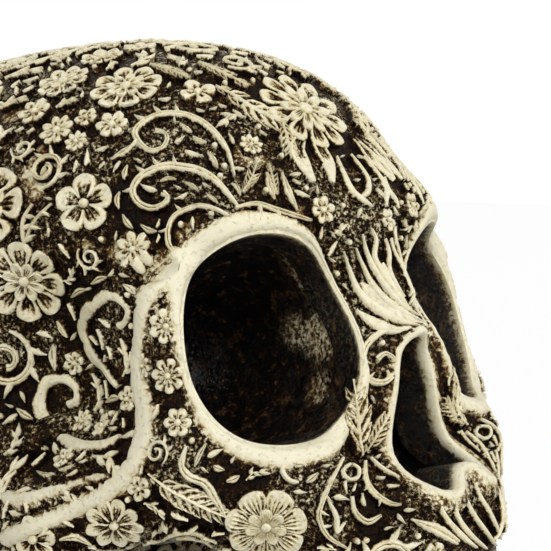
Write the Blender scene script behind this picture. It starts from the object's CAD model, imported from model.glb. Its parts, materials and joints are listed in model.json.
"""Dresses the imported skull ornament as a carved, antiqued resin casting.

The frame gives the two castings, the dowels, the plug and the felt pads at their real size.
This script gives each casting a fine skin whose ground lies below the smooth bands, lays the
carved flowers, scrolls and leaves on it, and finishes every surface.
"""

from __future__ import annotations

import json
import logging
import math
import random
from dataclasses import dataclass, field
from enum import Enum
from typing import Callable, Iterable, Sequence

import bpy
import numpy as np
from mathutils import Matrix, Vector, noise
from mathutils.bvhtree import BVHTree

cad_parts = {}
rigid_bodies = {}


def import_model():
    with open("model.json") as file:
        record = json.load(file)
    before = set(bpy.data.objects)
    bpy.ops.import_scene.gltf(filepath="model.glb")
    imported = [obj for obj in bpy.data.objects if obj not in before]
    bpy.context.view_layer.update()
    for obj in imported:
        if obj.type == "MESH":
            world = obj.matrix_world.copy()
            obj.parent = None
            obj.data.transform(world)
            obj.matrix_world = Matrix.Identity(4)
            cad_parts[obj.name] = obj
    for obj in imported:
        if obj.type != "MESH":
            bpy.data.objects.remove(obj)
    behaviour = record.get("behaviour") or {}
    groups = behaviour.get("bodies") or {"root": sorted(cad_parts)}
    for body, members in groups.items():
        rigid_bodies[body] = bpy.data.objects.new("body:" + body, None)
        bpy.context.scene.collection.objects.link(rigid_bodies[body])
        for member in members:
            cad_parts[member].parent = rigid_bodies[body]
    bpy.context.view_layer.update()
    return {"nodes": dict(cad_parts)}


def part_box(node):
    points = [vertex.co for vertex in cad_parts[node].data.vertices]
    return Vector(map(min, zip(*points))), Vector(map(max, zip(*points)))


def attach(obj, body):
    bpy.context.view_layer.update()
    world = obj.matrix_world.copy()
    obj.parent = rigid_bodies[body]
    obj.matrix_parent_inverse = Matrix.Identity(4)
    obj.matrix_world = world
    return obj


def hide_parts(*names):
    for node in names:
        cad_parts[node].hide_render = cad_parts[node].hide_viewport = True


LOG = logging.getLogger("skull_ornament")
MM = 0.001
TURN = 2 * math.pi

Pair = tuple[float, float]
Triple = tuple[float, float, float]
Four = tuple[float, float, float, float]
Pixel = Pair
Stops = tuple[tuple[float, str], ...]
Source = bpy.types.Node | bpy.types.NodeSocket


class Side(Enum):
    """The skull's own sides. Its right side is the near one in the photo."""

    RIGHT = -1
    LEFT = 1


def ease(value: float, low: float, high: float) -> float:
    """Smooth step from 0 at low to 1 at high."""
    share = min(max((value - low) / (high - low), 0.0), 1.0)
    return share * share * (3 - 2 * share)


def eased(values: np.ndarray, low: float, high: float) -> np.ndarray:
    """The same smooth step for a whole array."""
    share = np.clip((values - low) / (high - low), 0, 1)
    return share * share * (3 - 2 * share)


def only(obj: bpy.types.Object) -> None:
    """Makes obj the one selected and active object.

    Args:
        obj: The object.
    """
    bpy.ops.object.select_all(action="DESELECT")
    obj.select_set(True)
    bpy.context.view_layer.objects.active = obj


def apply_modifier(obj: bpy.types.Object, kind: str, **settings: object) -> None:
    """Adds a modifier to obj with its settings and applies it.

    Args:
        obj: The object.
        kind: The modifier's type.
        settings: Its settings by name.
    """
    only(obj)
    modifier = obj.modifiers.new(kind.lower(), kind)
    for name, value in settings.items():
        setattr(modifier, name, value)
    bpy.ops.object.modifier_apply(modifier=modifier.name)


def coordinates(mesh: bpy.types.Mesh, normals: bool = False) -> np.ndarray:
    """Vertex places of a mesh, or its vertex normals, as rows of three.

    Args:
        mesh: The mesh.
        normals: Whether to read the normals.

    Returns:
        A row for each vertex.
    """
    flat = np.empty(len(mesh.vertices) * 3, np.float32)
    if normals:
        mesh.vertices.foreach_get("normal", flat)
    else:
        mesh.vertices.foreach_get("co", flat)
    return flat.reshape(-1, 3).astype(float)


def edge_ends(mesh: bpy.types.Mesh) -> np.ndarray:
    """The two vertices of each edge of a mesh.

    Args:
        mesh: The mesh.

    Returns:
        A row for each edge.
    """
    flat = np.empty(len(mesh.edges) * 2, np.int64)
    mesh.edges.foreach_get("vertices", flat)
    return flat.reshape(-1, 2)


def pick(obj: bpy.types.Object, kind: str, chosen: Callable[[object], bool]) -> None:
    """Opens obj for editing, with only the vertices or faces selected that a test chooses.

    Args:
        obj: The object.
        kind: VERT or FACE.
        chosen: Says whether a vertex or face is selected.
    """
    only(obj)
    bpy.ops.object.mode_set(mode="EDIT")
    bpy.ops.mesh.select_mode(type=kind)
    bpy.ops.mesh.select_all(action="DESELECT")
    bpy.ops.object.mode_set(mode="OBJECT")
    for part in obj.data.polygons if kind == "FACE" else obj.data.vertices:
        part.select = chosen(part)
    bpy.ops.object.mode_set(mode="EDIT")


def evened(values: list, rounds: int = 3) -> list:
    """Values round a loop, each drawn towards the two beside it.

    Args:
        values: The values, in order.
        rounds: How often.

    Returns:
        The new values.
    """
    for _ in range(rounds):
        values = [(values[i - 1] + 2 * values[i] + values[(i + 1) % len(values)]) / 4
                  for i in range(len(values))]
    return values


def read_off(place: float | np.ndarray, table: Sequence[Pair]) -> np.ndarray:
    """What a table of places and sizes gives at a place, in straight lines between its rows."""
    return np.interp(place, [at for at, _ in table], [size for _, size in table])


def relaxed(places: np.ndarray, edges: np.ndarray, weights: np.ndarray,
            times: int) -> np.ndarray:
    """Places moved half way to the middle of their neighbours, as far as the weights allow.

    Args:
        places: A row for each vertex.
        edges: The two ends of each edge.
        weights: For each vertex, 0 where it stays.
        times: How often they are moved.

    Returns:
        The new places.
    """
    count = np.bincount(edges.ravel(), minlength=len(places))[:, None]
    for _ in range(times):
        total = np.column_stack([
            np.bincount(edges[:, 0], places[edges[:, 1], axis], len(places))
            + np.bincount(edges[:, 1], places[edges[:, 0], axis], len(places))
            for axis in range(3)])
        places = places + (total / count - places) * weights[:, None] * 0.5
    return places


def set_attribute(mesh: bpy.types.Mesh, name: str, values: Sequence[float]) -> None:
    """Stores one number for each vertex under a name that the materials read."""
    attribute = mesh.attributes.get(name) or mesh.attributes.new(name, "FLOAT", "POINT")
    attribute.data.foreach_set("value", np.asarray(values, np.float32))


@dataclass(frozen=True)
class PhotoView:
    """The camera of the photo, fitted to named landmarks of the skull, in millimetres.

    The ear point is where the skull's own frame starts, in metres.
    """

    ear: Vector
    azimuth_deg: float = -50.2
    elevation_deg: float = 5.1
    distance: float = 350.0
    scale_px: float = 3.841
    across: float = 36.7
    above: float = 41.3
    frame_px: int = 551
    sensor: float = 36.0

    def axes(self) -> tuple[Vector, Vector, Vector]:
        """The directions right, up and back of the camera, in the row frame.

        Returns:
            Three unit vectors.
        """
        azimuth = math.radians(self.azimuth_deg)
        elevation = math.radians(self.elevation_deg)
        back = Vector((math.sin(azimuth) * math.cos(elevation),
                       -math.cos(azimuth) * math.cos(elevation), math.sin(elevation)))
        right = Vector((math.cos(azimuth), math.sin(azimuth), 0))
        return right, back.cross(right), back

    def pixel_size(self, place: Vector) -> float:
        """How many millimetres one pixel spans at a place in front of the camera."""
        depth = (self.position() - place).dot(self.axes()[2]) / MM
        return depth / (self.scale_px * self.distance)

    def position(self) -> Vector:
        """The camera's place in metres."""
        right, up, back = self.axes()
        return self.ear + (back * self.distance + right * self.across + up * self.above) * MM

    def ray(self, pixel: Pixel) -> Vector:
        """The direction that a pixel of the photo looks along.

        Args:
            pixel: Its place across and down.

        Returns:
            The direction, one unit long.
        """
        right, up, back = self.axes()
        focal = self.scale_px * self.distance
        half = self.frame_px / 2
        across, down = (pixel[0] - half) / focal, (pixel[1] - half) / focal
        return (right * across - up * down - back).normalized()

    def make(self) -> None:
        """Adds the camera and makes it the scene's own."""
        right, up, back = self.axes()
        data = bpy.data.cameras.new("photo_camera")
        data.sensor_fit = "HORIZONTAL"
        data.sensor_width = self.sensor
        data.lens = self.scale_px * self.distance / self.frame_px * self.sensor
        data.clip_start = MM
        camera = bpy.data.objects.new("photo_camera", data)
        bpy.context.scene.collection.objects.link(camera)
        turn = Matrix((right, up, back)).transposed().to_4x4()
        camera.matrix_world = Matrix.Translation(self.position()) @ turn
        bpy.context.scene.camera = camera


@dataclass
class Anatomy:
    """The skull's own level frame, and the openings that are cut into it, in millimetres."""

    lean_deg: float = 16.0
    ear_from_plug: Pair = (-23.66, 54.39)
    socket_half: Triple = (19.5, 22.0, 44.0)
    socket_centre: Triple = (32.0, -80.1, 13.0)
    socket_turn_deg: float = 15.0
    socket_droop_deg: float = 8.0
    socket_power: float = 2.2
    nose_half_width: float = 13.0
    nose_height: float = 36.0
    nose_bottom: float = -28.2
    nose_front: float = -102.8
    nose_depth: float = 38.0
    nose_heart_share: float = 0.4
    nose_margin: float = 0.6
    nose_spare: float = 2.0

    def __post_init__(self) -> None:
        """Finds the ear point from the plug under it, and the turn to the row frame."""
        low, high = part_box("base_plug")
        back, rise = self.ear_from_plug
        self.ear = (low + high) / 2 + Vector((0, back, rise)) * MM
        self.lean = Matrix.Rotation(-math.radians(self.lean_deg), 4, "X")

    def to_row(self, point: Sequence[float]) -> Vector:
        """A point of the level skull in millimetres, as a place in metres in the row frame."""
        return self.ear + self.lean @ Vector(point) * MM

    def from_row(self, places: np.ndarray) -> np.ndarray:
        """Places in metres in the row frame, as points of the level skull in millimetres."""
        back = np.array(self.lean.to_3x3().inverted())
        return (places - np.array(self.ear)) @ back.T / MM

    def rows(self, level: np.ndarray) -> np.ndarray:
        """Points of the level skull in millimetres, as places in metres in the row frame."""
        return level @ np.array(self.lean.to_3x3()).T * MM + np.array(self.ear)

    def socket_turn(self, side: Side) -> Matrix:
        """The turn of a socket's own axes, across, up and out, in the level skull.

        Args:
            side: Which socket.

        Returns:
            The turn.
        """
        lay = Matrix.Rotation(math.pi / 2, 3, "X")
        droop = Matrix.Rotation(-side.value * math.radians(self.socket_droop_deg), 3, "Y")
        turn = Matrix.Rotation(side.value * math.radians(self.socket_turn_deg), 3, "Z")
        return turn @ droop @ lay

    def socket_place(self, side: Side, angle: float, tilt: float, grow: float) -> Vector:
        """A point on a socket's wall.

        Args:
            side: Which socket.
            angle: Round the socket's axis, from its outer side upwards.
            tilt: From the axis, where it leaves the face, to the rear.
            grow: How far outside the wall the point lies, in millimetres.

        Returns:
            The place in metres in the row frame.
        """
        unit = Vector((side.value * math.cos(angle) * math.sin(tilt),
                       math.sin(angle) * math.sin(tilt), math.cos(tilt)))
        norm = sum(abs(part) ** self.socket_power for part in unit) ** (1 / self.socket_power)
        local = Vector(part / norm * (half + grow)
                       for part, half in zip(unit, self.socket_half))
        centre = Vector(self.socket_centre)
        centre.x *= side.value
        return self.to_row(centre + self.socket_turn(side) @ local)

    def socket_reach(self, level: np.ndarray, side: Side) -> tuple[np.ndarray, np.ndarray]:
        """How far points of the level skull lie outside a socket's wall, and round its axis.

        Args:
            level: Points of the level skull, in millimetres.
            side: Which socket.

        Returns:
            Distances in millimetres, negative inside, and angles from the outer side upwards.
        """
        centre = np.array(self.socket_centre) * (side.value, 1, 1)
        local = (level - centre) @ np.array(self.socket_turn(side))
        share = np.abs(local) / np.array(self.socket_half)
        norm = np.power(share, self.socket_power).sum(axis=1) ** (1 / self.socket_power)
        radius = np.linalg.norm(local, axis=1) / np.maximum(norm, 1e-6)
        angle = np.arctan2(local[:, 1], local[:, 0] * side.value)
        return (norm - 1) * radius, angle

    def nose_outline(self, grow: float) -> list[Vector]:
        """The pear-shaped edge of the nose opening, across and up from its foot.

        Args:
            grow: How far outside the edge the outline runs, in millimetres.

        Returns:
            The points round the whole opening, in millimetres.
        """
        half_shares = ((0.12, 1), (0.4, 0.9), (0.66, 0.64), (0.9, 0.36), (1, 0.17), (0.86, 0.04),
                       (0.55, 0), (0.28, 0.05), (0.12, 0.14))
        half_points = [Vector((x * self.nose_half_width, z * self.nose_height))
                       for x, z in half_shares]
        other = [Vector((-p.x, p.y)) for p in reversed(half_points)]
        centre = Vector((0, self.nose_height * self.nose_heart_share))
        return [p + (p - centre).normalized() * grow for p in other + half_points]

    def nose_reach(self, level: np.ndarray) -> np.ndarray:
        """Which points of the level skull lie inside the nose opening's outline, as 0 or 1.

        Args:
            level: Points of the level skull, in millimetres.

        Returns:
            For each point 1 inside, 0 outside.
        """
        outline = self.nose_outline(self.nose_margin)
        across, up = level[:, 0], level[:, 2] - self.nose_bottom
        inside = np.zeros(len(level), bool)
        for a, b in zip(outline, outline[1:] + outline[:1]):
            if a.y == b.y:
                continue
            crosses = (a.y > up) != (b.y > up)
            inside ^= crosses & (across < (b.x - a.x) * (up - a.y) / (b.y - a.y) + a.x)
        deep = level[:, 1] - self.nose_front
        return (inside & (deep > 0) & (deep < self.nose_depth + self.nose_spare)).astype(float)


def linear(code: str) -> Four:
    """Linear colour of an sRGB hex code."""
    parts = [int(code[start:start + 2], 16) / 255 for start in (1, 3, 5)]
    return (*(p / 12.92 if p <= 0.04045 else ((p + 0.055) / 1.055) ** 2.4 for p in parts), 1.0)


def numbered(values: Sequence[float]) -> dict[str, float]:
    """Values as inputs of a node, from its second socket on."""
    return {f"i{number}": value for number, value in enumerate(values, 1)}


class FinishTree:
    """The node tree of a material or of the world."""

    def __init__(self, owner: bpy.types.Material | bpy.types.World) -> None:
        """Empties the owner's tree, and gives a material its shader and its output.

        Args:
            owner: The material or the world.
        """
        owner.use_nodes = True
        self.owner = owner
        self.nodes = owner.node_tree.nodes
        self.nodes.clear()
        if isinstance(owner, bpy.types.Material):
            self.shader = self.add("ShaderNodeBsdfPrincipled")
            self.output = self.add("ShaderNodeOutputMaterial", Surface=self.shader)
            self.place = self.add("ShaderNodeTexCoord").outputs["Object"]

    @classmethod
    def named(cls, name: str) -> "FinishTree":
        """The tree of a new material of this name."""
        return cls(bpy.data.materials.new(name))

    def add(self, kind: str, settings: dict | None = None, **inputs: object) -> bpy.types.Node:
        """Adds a node.

        Args:
            kind: The node's type.
            settings: Values of the node's own settings; stops are a ramp's places and colours.
            inputs: Sockets by name, or by i and a number, with a value, another node or one
                of its outputs.

        Returns:
            The node.
        """
        node = self.nodes.new(kind)
        for name, value in (settings or {}).items():
            if name == "stops":
                elements = node.color_ramp.elements
                while len(elements) < len(value):
                    elements.new(0.5)
                for element, (place, code) in zip(elements, value):
                    element.position, element.color = place, linear(code)
            else:
                setattr(node, name, value)
        self.feed(node, **inputs)
        return node

    def feed(self, node: bpy.types.Node, **inputs: object) -> None:
        """Links outputs to sockets of a node, or sets the sockets' values.

        Args:
            node: The node.
            inputs: As in add.
        """
        for name, value in inputs.items():
            socket = node.inputs[int(name[1:]) if name[1:].isdigit() else name.replace("_", " ")]
            if isinstance(value, bpy.types.Node):
                value = value.outputs[0]
            if isinstance(value, bpy.types.NodeSocket):
                self.owner.node_tree.links.new(value, socket)
            else:
                socket.default_value = value

    def seen(self) -> Source:
        """Whether the camera, a reflection or a clear piece shows the surface itself.

        Returns:
            1 where one does, elsewhere 0.
        """
        path = self.add("ShaderNodeLightPath").outputs
        seen = path["Is Camera Ray"]
        for ray in ("Is Glossy Ray", "Is Transmission Ray"):
            seen = self.add("ShaderNodeMath", {"operation": "MAXIMUM"}, i0=seen, i1=path[ray])
        return seen


@dataclass(frozen=True)
class Mottle:
    """A cloudy pattern, with the width of its patches in millimetres."""

    size_mm: float
    detail: float
    roughness: float = 0.6

    def on(self, tree: FinishTree) -> Source:
        """The pattern on a piece, from 0 to 1."""
        return tree.add("ShaderNodeTexNoise", Vector=tree.place, Scale=1 / (self.size_mm * MM),
                        Detail=self.detail, Roughness=self.roughness)


@dataclass(frozen=True)
class AgedResin:
    """Cold-cast resin, poured in a mould, ivory coloured, with a dark wash wiped off its tops.

    The wash stays in the ground between the carvings, so the tops read pale and worn, and
    the ground nearly black with brown patches where the wiping reached it. Ranges give two
    levels of wear and what the finish has at each.
    """

    name: str = "cold_cast_resin_wiped_wash"
    stops: Stops = (
        (0.0, "#0B0704"), (0.13, "#1A0F07"), (0.27, "#43290F"), (0.4, "#8A6636"),
        (0.52, "#CAB682"), (0.7, "#E8DDB3"), (1.0, "#F3ECD0"))
    lining: Stops = (
        (0.0, "#050403"), (0.49, "#0A0806"), (0.57, "#2A1A0D"), (0.66, "#5E4627"),
        (0.78, "#8C764C"))
    clouds: tuple[tuple[Mottle, float], ...] = (
        (Mottle(14.0, 3.0), 0.3), (Mottle(2.2, 4.0), 0.5), (Mottle(0.45, 2.0), 0.25))
    crumbs: Mottle = Mottle(1.7, 5.0, 0.7)
    crumble: float = 6.0
    brush: Mottle = Mottle(0.85, 6.0, 0.75)
    brush_range: Pair = (0.48, 0.61)
    rub: Mottle = Mottle(14.0, 2.0)
    rub_range: Four = (0.38, 0.62, 0.1, 0.72)
    damp: Mottle = Mottle(3.0, 5.0, 0.7)
    pits: Mottle = Mottle(0.9, 3.0)
    pit_range: Pair = (0.3, 0.42)
    grain: Mottle = Mottle(0.45, 2.0)
    grain_share: float = 0.4
    bump_range: Four = (0.15, 0.6, 1.0, 0.3)
    bump_mm: float = 0.5
    roughness_range: Four = (0.1, 0.6, 0.62, 0.55)
    lining_roughness: float = 0.22
    sheen_range: Four = (0.1, 0.6, 0.07, 0.25)
    lining_sheen: float = 0.4
    ior: float = 1.5

    def make(self) -> bpy.types.Material:
        """Builds the material.

        Returns:
            The material.
        """
        tree = FinishTree.named(self.name)
        wear, gloom = (tree.add("ShaderNodeAttribute", {"attribute_name": name}).outputs["Fac"]
                       for name in ("wear", "gloom"))
        level = self._level(tree, wear)
        aged = tree.add("ShaderNodeValToRGB", {"stops": self.stops}, i0=level)
        lining = tree.add("ShaderNodeValToRGB", {"stops": self.lining}, i0=self.damp.on(tree))
        colour = tree.add("ShaderNodeMix", {"data_type": "RGBA"}, i0=gloom, i6=aged, i7=lining)
        rough, sheen = (
            tree.add("ShaderNodeMix", i0=gloom, i3=inside,
                     i2=tree.add("ShaderNodeMapRange", i0=level, **numbered(outside)))
            for outside, inside in ((self.roughness_range, self.lining_roughness),
                                    (self.sheen_range, self.lining_sheen)))
        tree.feed(tree.shader, Base_Color=colour.outputs[2], Roughness=rough, IOR=self.ior,
                  Specular_IOR_Level=sheen, Normal=self._bumps(tree, level))
        return tree.owner

    def _level(self, tree: FinishTree, wear: Source) -> Source:
        """How far the wash is gone: the wear, made cloudy, crumbled half way, brushed over.

        Args:
            tree: The finish.
            wear: The piece's own wear.

        Returns:
            The level, from 0 for full wash to 1 for bare resin.
        """
        level = wear
        for cloud, strength in self.clouds:
            away = tree.add("ShaderNodeMath", {"operation": "SUBTRACT"}, i0=cloud.on(tree), i1=0.5)
            level = tree.add("ShaderNodeMath", {"operation": "MULTIPLY_ADD"}, i0=away, i1=strength,
                             i2=level)
        left = tree.add("ShaderNodeMath", {"operation": "SUBTRACT"}, i0=1.0, i1=wear)
        middling = tree.add("ShaderNodeMath", {"operation": "MULTIPLY"}, i0=wear, i1=left)
        away = tree.add("ShaderNodeMath", {"operation": "SUBTRACT"}, i0=self.crumbs.on(tree),
                        i1=0.5)
        crumbs = tree.add("ShaderNodeMath", {"operation": "MULTIPLY"}, i0=middling, i1=away)
        level = tree.add("ShaderNodeMath", {"operation": "MULTIPLY_ADD"}, i0=crumbs,
                         i1=self.crumble, i2=level)
        brushed, rubbed = (
            tree.add("ShaderNodeMapRange", i0=mottle.on(tree), **numbered(limits))
            for mottle, limits in ((self.brush, self.brush_range), (self.rub, self.rub_range)))
        dry = tree.add("ShaderNodeMath", {"operation": "MULTIPLY"}, i0=brushed, i1=rubbed)
        return tree.add("ShaderNodeMath", {"operation": "ADD"}, i0=level, i1=dry)

    def _bumps(self, tree: FinishTree, level: Source) -> Source:
        """Fine grain and pits of the casting, deepest where the wash lies.

        Args:
            tree: The finish.
            level: How far the wash is gone.

        Returns:
            The bumped normal.
        """
        pits = tree.add("ShaderNodeMapRange", i0=self.pits.on(tree), **numbered(self.pit_range))
        height = tree.add("ShaderNodeMath", {"operation": "MULTIPLY_ADD"}, i0=self.grain.on(tree),
                          i1=self.grain_share, i2=pits)
        depth = tree.add("ShaderNodeMapRange", i0=level, **numbered(self.bump_range))
        shaped = tree.add("ShaderNodeMath", {"operation": "MULTIPLY"}, i0=height, i1=depth)
        return tree.add("ShaderNodeBump", Height=shaped, Distance=self.bump_mm * MM)


@dataclass(frozen=True)
class GrainedFinish:
    """A finish of one pattern, which gives it its colour and its bumps."""

    name: str
    grain: Mottle
    stops: Stops
    bump_mm: float
    roughness: float
    metallic: float = 0.0
    sheen: float = 0.0

    def make(self) -> bpy.types.Material:
        """Builds the material.

        Returns:
            The material.
        """
        tree = FinishTree.named(self.name)
        grain = self.grain.on(tree)
        colour = tree.add("ShaderNodeValToRGB", {"stops": self.stops}, i0=grain)
        bump = tree.add("ShaderNodeBump", Height=grain, Distance=self.bump_mm * MM)
        tree.feed(tree.shader, Base_Color=colour, Metallic=self.metallic,
                  Roughness=self.roughness, Sheen_Weight=self.sheen, Normal=bump)
        return tree.owner


# Ground steel rod: bright, with fine turning marks that break up its reflections.
GROUND_STEEL = GrainedFinish("steel_ground_rod", Mottle(0.35, 2.0),
                             ((0.2, "#8E8C88"), (0.8, "#B9B7B2")), 0.02, 0.32, metallic=1.0)
# Cast resin plug, left as it left the mould: brown, slightly pitted, half matt.
PLUG_RESIN = GrainedFinish("cast_resin_plug_brown", Mottle(1.6, 4.0),
                           ((0.3, "#2A1B10"), (0.5, "#3B2817"), (0.7, "#5A4028")), 0.1, 0.5)
# Pressed wool felt, cut with a punch: matt, with short fibres lying every way.
PRESSED_FELT = GrainedFinish("wool_felt_pressed_black", Mottle(0.5, 5.0, 0.75),
                             ((0.3, "#0F0E0D"), (0.7, "#2C2926")), 0.25, 0.95, sheen=0.4)


@dataclass(frozen=True)
class Band:
    """A smooth raised band: pixels of the photo along its middle, with half widths in pixels."""

    name: str
    points: tuple[Triple, ...]


@dataclass(frozen=True)
class WornPatch:
    """A place where the dark wash is rubbed off the ground."""

    centre: Pixel
    radius_px: float
    strength: float


BANDS = (
    Band("cheekbone", ((150, 274, 10), (141, 300, 9), (136, 330, 8), (133, 360, 8),
                       (135, 385, 9), (141, 410, 12), (139, 440, 12), (131, 462, 11),
                       (117, 482, 11), (98, 497, 9), (75, 508, 8), (48, 520, 8),
                       (20, 532, 9), (2, 541, 9))),
    Band("arch_ridge", ((3, 495, 6), (13, 498, 6), (32, 495, 7), (57, 487, 4), (71, 482, 2),
                        (89, 477, 2), (102, 474, 1))),
    Band("brow_rim", ((172, 283, 9), (186, 268, 10), (202, 254, 10), (220, 243, 9),
                      (240, 233, 8), (262, 228, 7), (285, 229, 6))),
    Band("brow_corner", ((150, 290, 10), (157, 272, 13), (170, 260, 13), (188, 252, 8))),
    Band("under_rim", ((200, 415, 3), (214, 432, 4), (232, 446, 5), (258, 456, 7),
                       (285, 460, 7), (310, 452, 6), (330, 438, 5))),
)

WORN = (
    WornPatch((35, 172), 30, 0.62), WornPatch((8, 110), 14, 0.5), WornPatch((85, 255), 17, 0.55),
    WornPatch((118, 250), 18, 0.6), WornPatch((252, 150), 20, 0.55), WornPatch((185, 230), 14, 0.45),
    WornPatch((308, 275), 34, 0.46), WornPatch((322, 335), 34, 0.44), WornPatch((296, 330), 24, 0.36),
    WornPatch((318, 390), 24, 0.4), WornPatch((290, 250), 20, 0.42),
    WornPatch((172, 540), 26, 0.75), WornPatch((300, 215), 14, 0.45), WornPatch((345, 300), 9, 0.45),
    WornPatch((150, 445), 12, 0.4), WornPatch((392, 400), 10, 0.3), WornPatch((30, 150), 18, 0.4),
)

RIM_WIDTHS = ((-180, 0.0), (-150, 2.5), (-120, 3.5), (-90, 3.0), (-60, 2.2), (-30, 1.4),
              (0, 1.2), (20, 3.0), (45, 5.0), (75, 4.5), (100, 3.0), (125, 1.0), (150, 0.0),
              (180, 0.0))


@dataclass
class CrownForm:
    """The smooth form that the tops of the carvings lie on.

    It is the blend of masses that the casting's solid is made from. Places are shares of the
    half width, the half length and the height above or below the ear line.
    """

    half_width: float = 71.0
    half_length: float = 91.0
    vault: float = 106.0
    drop: float = 88.0
    blend_share: float = 0.12
    probe: float = 0.4
    arch: Triple = (29.0, 37.0, -54.6)
    ridge: Pair = (-35.8, 7.36)
    ridge_shares: tuple[float, ...] = (0.13, 0.6, 1.0)
    middle_masses: tuple = (
        ((0, 0.2, 0.42), (0.985, 0.77, 0.565)), ((0, -0.12, 0.33), (0.94, 0.82, 0.6)),
        ((0, -0.5, 0.43), (0.74, 0.43, 0.37)), ((0, 0.77, 0.28), (0.56, 0.24, 0.245)))
    face_masses: tuple = (
        ((0, -0.79, 0.36), (0.62, 0.2, 0.13)), ((0, -0.64, 0.02), (0.65, 0.37, 0.28)),
        ((0, -0.79, -0.32), (0.46, 0.3, 0.18)))
    base_masses: tuple = (
        ((0.3, 0.36, -0.14), (0.42, 0.45, 0.42)), ((0.71, 0.15, -0.17), (0.18, 0.19, 0.19)),
        ((0.72, -0.14, -0.02), (0.2, 0.2, 0.11)), ((0.68, -0.42, -0.1), (0.2, 0.3, 0.12)))
    temple: tuple = ((0.97, -0.48, 0.13), (0.28, 0.27, 0.28))
    canine: tuple = ((0.62, -0.88, -0.52), (0.19, 0.18, 0.12))
    bridge: tuple = (((0, -0.93, 0.3), 0.08), ((0, -1.0, 0.11), 0.065))
    side_bars: tuple = (
        (((0.42, -0.86, -0.2), 0.145), ((0.64, -0.72, -0.11), 0.135)),
        (((0.38, -0.83, -0.31), 0.125), ((0.54, -0.74, -0.25), 0.105)),
        (((0.69, -0.74, -0.05), 0.085), ((0.69, -0.74, 0.28), 0.085)),
        (((0.66, -0.62, -0.02), 0.09), ((0.64, -0.6, 0.26), 0.09)),
        (((0.7, -0.66, -0.14), 0.12), ((0.84, -0.38, -0.17), 0.11)),
        (((0.84, -0.38, -0.17), 0.11), ((0.86, -0.07, -0.1), 0.1)))

    def at(self, shares: Sequence[float]) -> np.ndarray:
        """A point of the level skull, in millimetres, from its shares.

        Args:
            shares: Its shares across, back and up.

        Returns:
            The point.
        """
        x, y, z = shares
        return np.array((x * self.half_width, y * self.half_length,
                         z * (self.drop if z < 0 else self.vault)))

    def _mass(self, p: np.ndarray, mass: tuple) -> np.ndarray:
        """Distance to an ellipsoid.

        Args:
            p: The points.
            mass: Its centre and half sizes, in shares.

        Returns:
            The distances, negative inside.
        """
        radius = np.array(mass[1]) * (self.half_width, self.half_length, self.vault)
        q = (p - self.at(mass[0])) / radius
        k = np.linalg.norm(q, axis=1)
        return k * (k - 1) / np.maximum(np.linalg.norm(q / radius, axis=1), 1e-9)

    def _bar(self, p: np.ndarray, a: np.ndarray, b: np.ndarray, ra: float,
             rb: float) -> np.ndarray:
        """Distance to a round bar between two points.

        Args:
            p: The points.
            a: One end.
            b: The other end.
            ra: The bar's radius at a.
            rb: Its radius at b.

        Returns:
            The distances, negative inside.
        """
        run = b - a
        along = np.clip((p - a) @ run / (run @ run), 0, 1)
        return (np.linalg.norm(p - a - along[:, None] * run, axis=1)
                - (ra + (rb - ra) * along))

    def _join(self, a: np.ndarray, b: np.ndarray) -> np.ndarray:
        """Joins two distances softly.

        Args:
            a: One distance.
            b: The other.

        Returns:
            The distance to both forms as one.
        """
        blend = self.blend_share * self.half_width
        h = np.maximum(blend - np.abs(a - b), 0) / blend
        return np.minimum(a, b) - h * h * blend / 4

    def distance(self, level: np.ndarray) -> np.ndarray:
        """Distance of points of the level skull to the form, in millimetres.

        Args:
            level: The points.

        Returns:
            Distances, negative inside.
        """
        both = [level, level * (-1, 1, 1)]
        d = np.full(len(level), self.half_length * 2)
        for mass in self.middle_masses:
            d = self._join(d, self._mass(level, mass))
        for p in both:
            d = -self._join(-d, self._mass(p, self.temple))
        for mass in self.face_masses:
            d = self._join(d, self._mass(level, mass))
        (top, top_share), (tip, tip_share) = self.bridge
        d = self._join(d, self._bar(level, self.at(top), self.at(tip),
                                    top_share * self.half_width, tip_share * self.half_width))
        level_of_ridge, half = self.ridge
        ridge = [np.array((self.arch[0] * math.sin(share * TURN / 4),
                           self.arch[2] - self.arch[1] * math.cos(share * TURN / 4),
                           level_of_ridge)) for share in self.ridge_shares]
        for p in both:
            for mass in self.base_masses:
                d = self._join(d, self._mass(p, mass))
            for (a, ra), (b, rb) in self.side_bars:
                d = self._join(d, self._bar(p, self.at(a), self.at(b), ra * self.half_width,
                                            rb * self.half_width))
            for a, b in zip(ridge, ridge[1:]):
                d = self._join(d, self._bar(p, a, b, half, half))
        for p in both:
            d = -self._join(-d, self._mass(p, self.canine))
        return d

    def slope(self, level: np.ndarray, here: np.ndarray) -> np.ndarray:
        """Gradient of the distance, one row for each point.

        Args:
            level: The points.
            here: Their distances.

        Returns:
            The gradients.
        """
        rows = np.empty_like(level)
        for axis in range(3):
            beside = level.copy()
            beside[:, axis] += self.probe
            rows[:, axis] = (self.distance(beside) - here) / self.probe
        return rows


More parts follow.
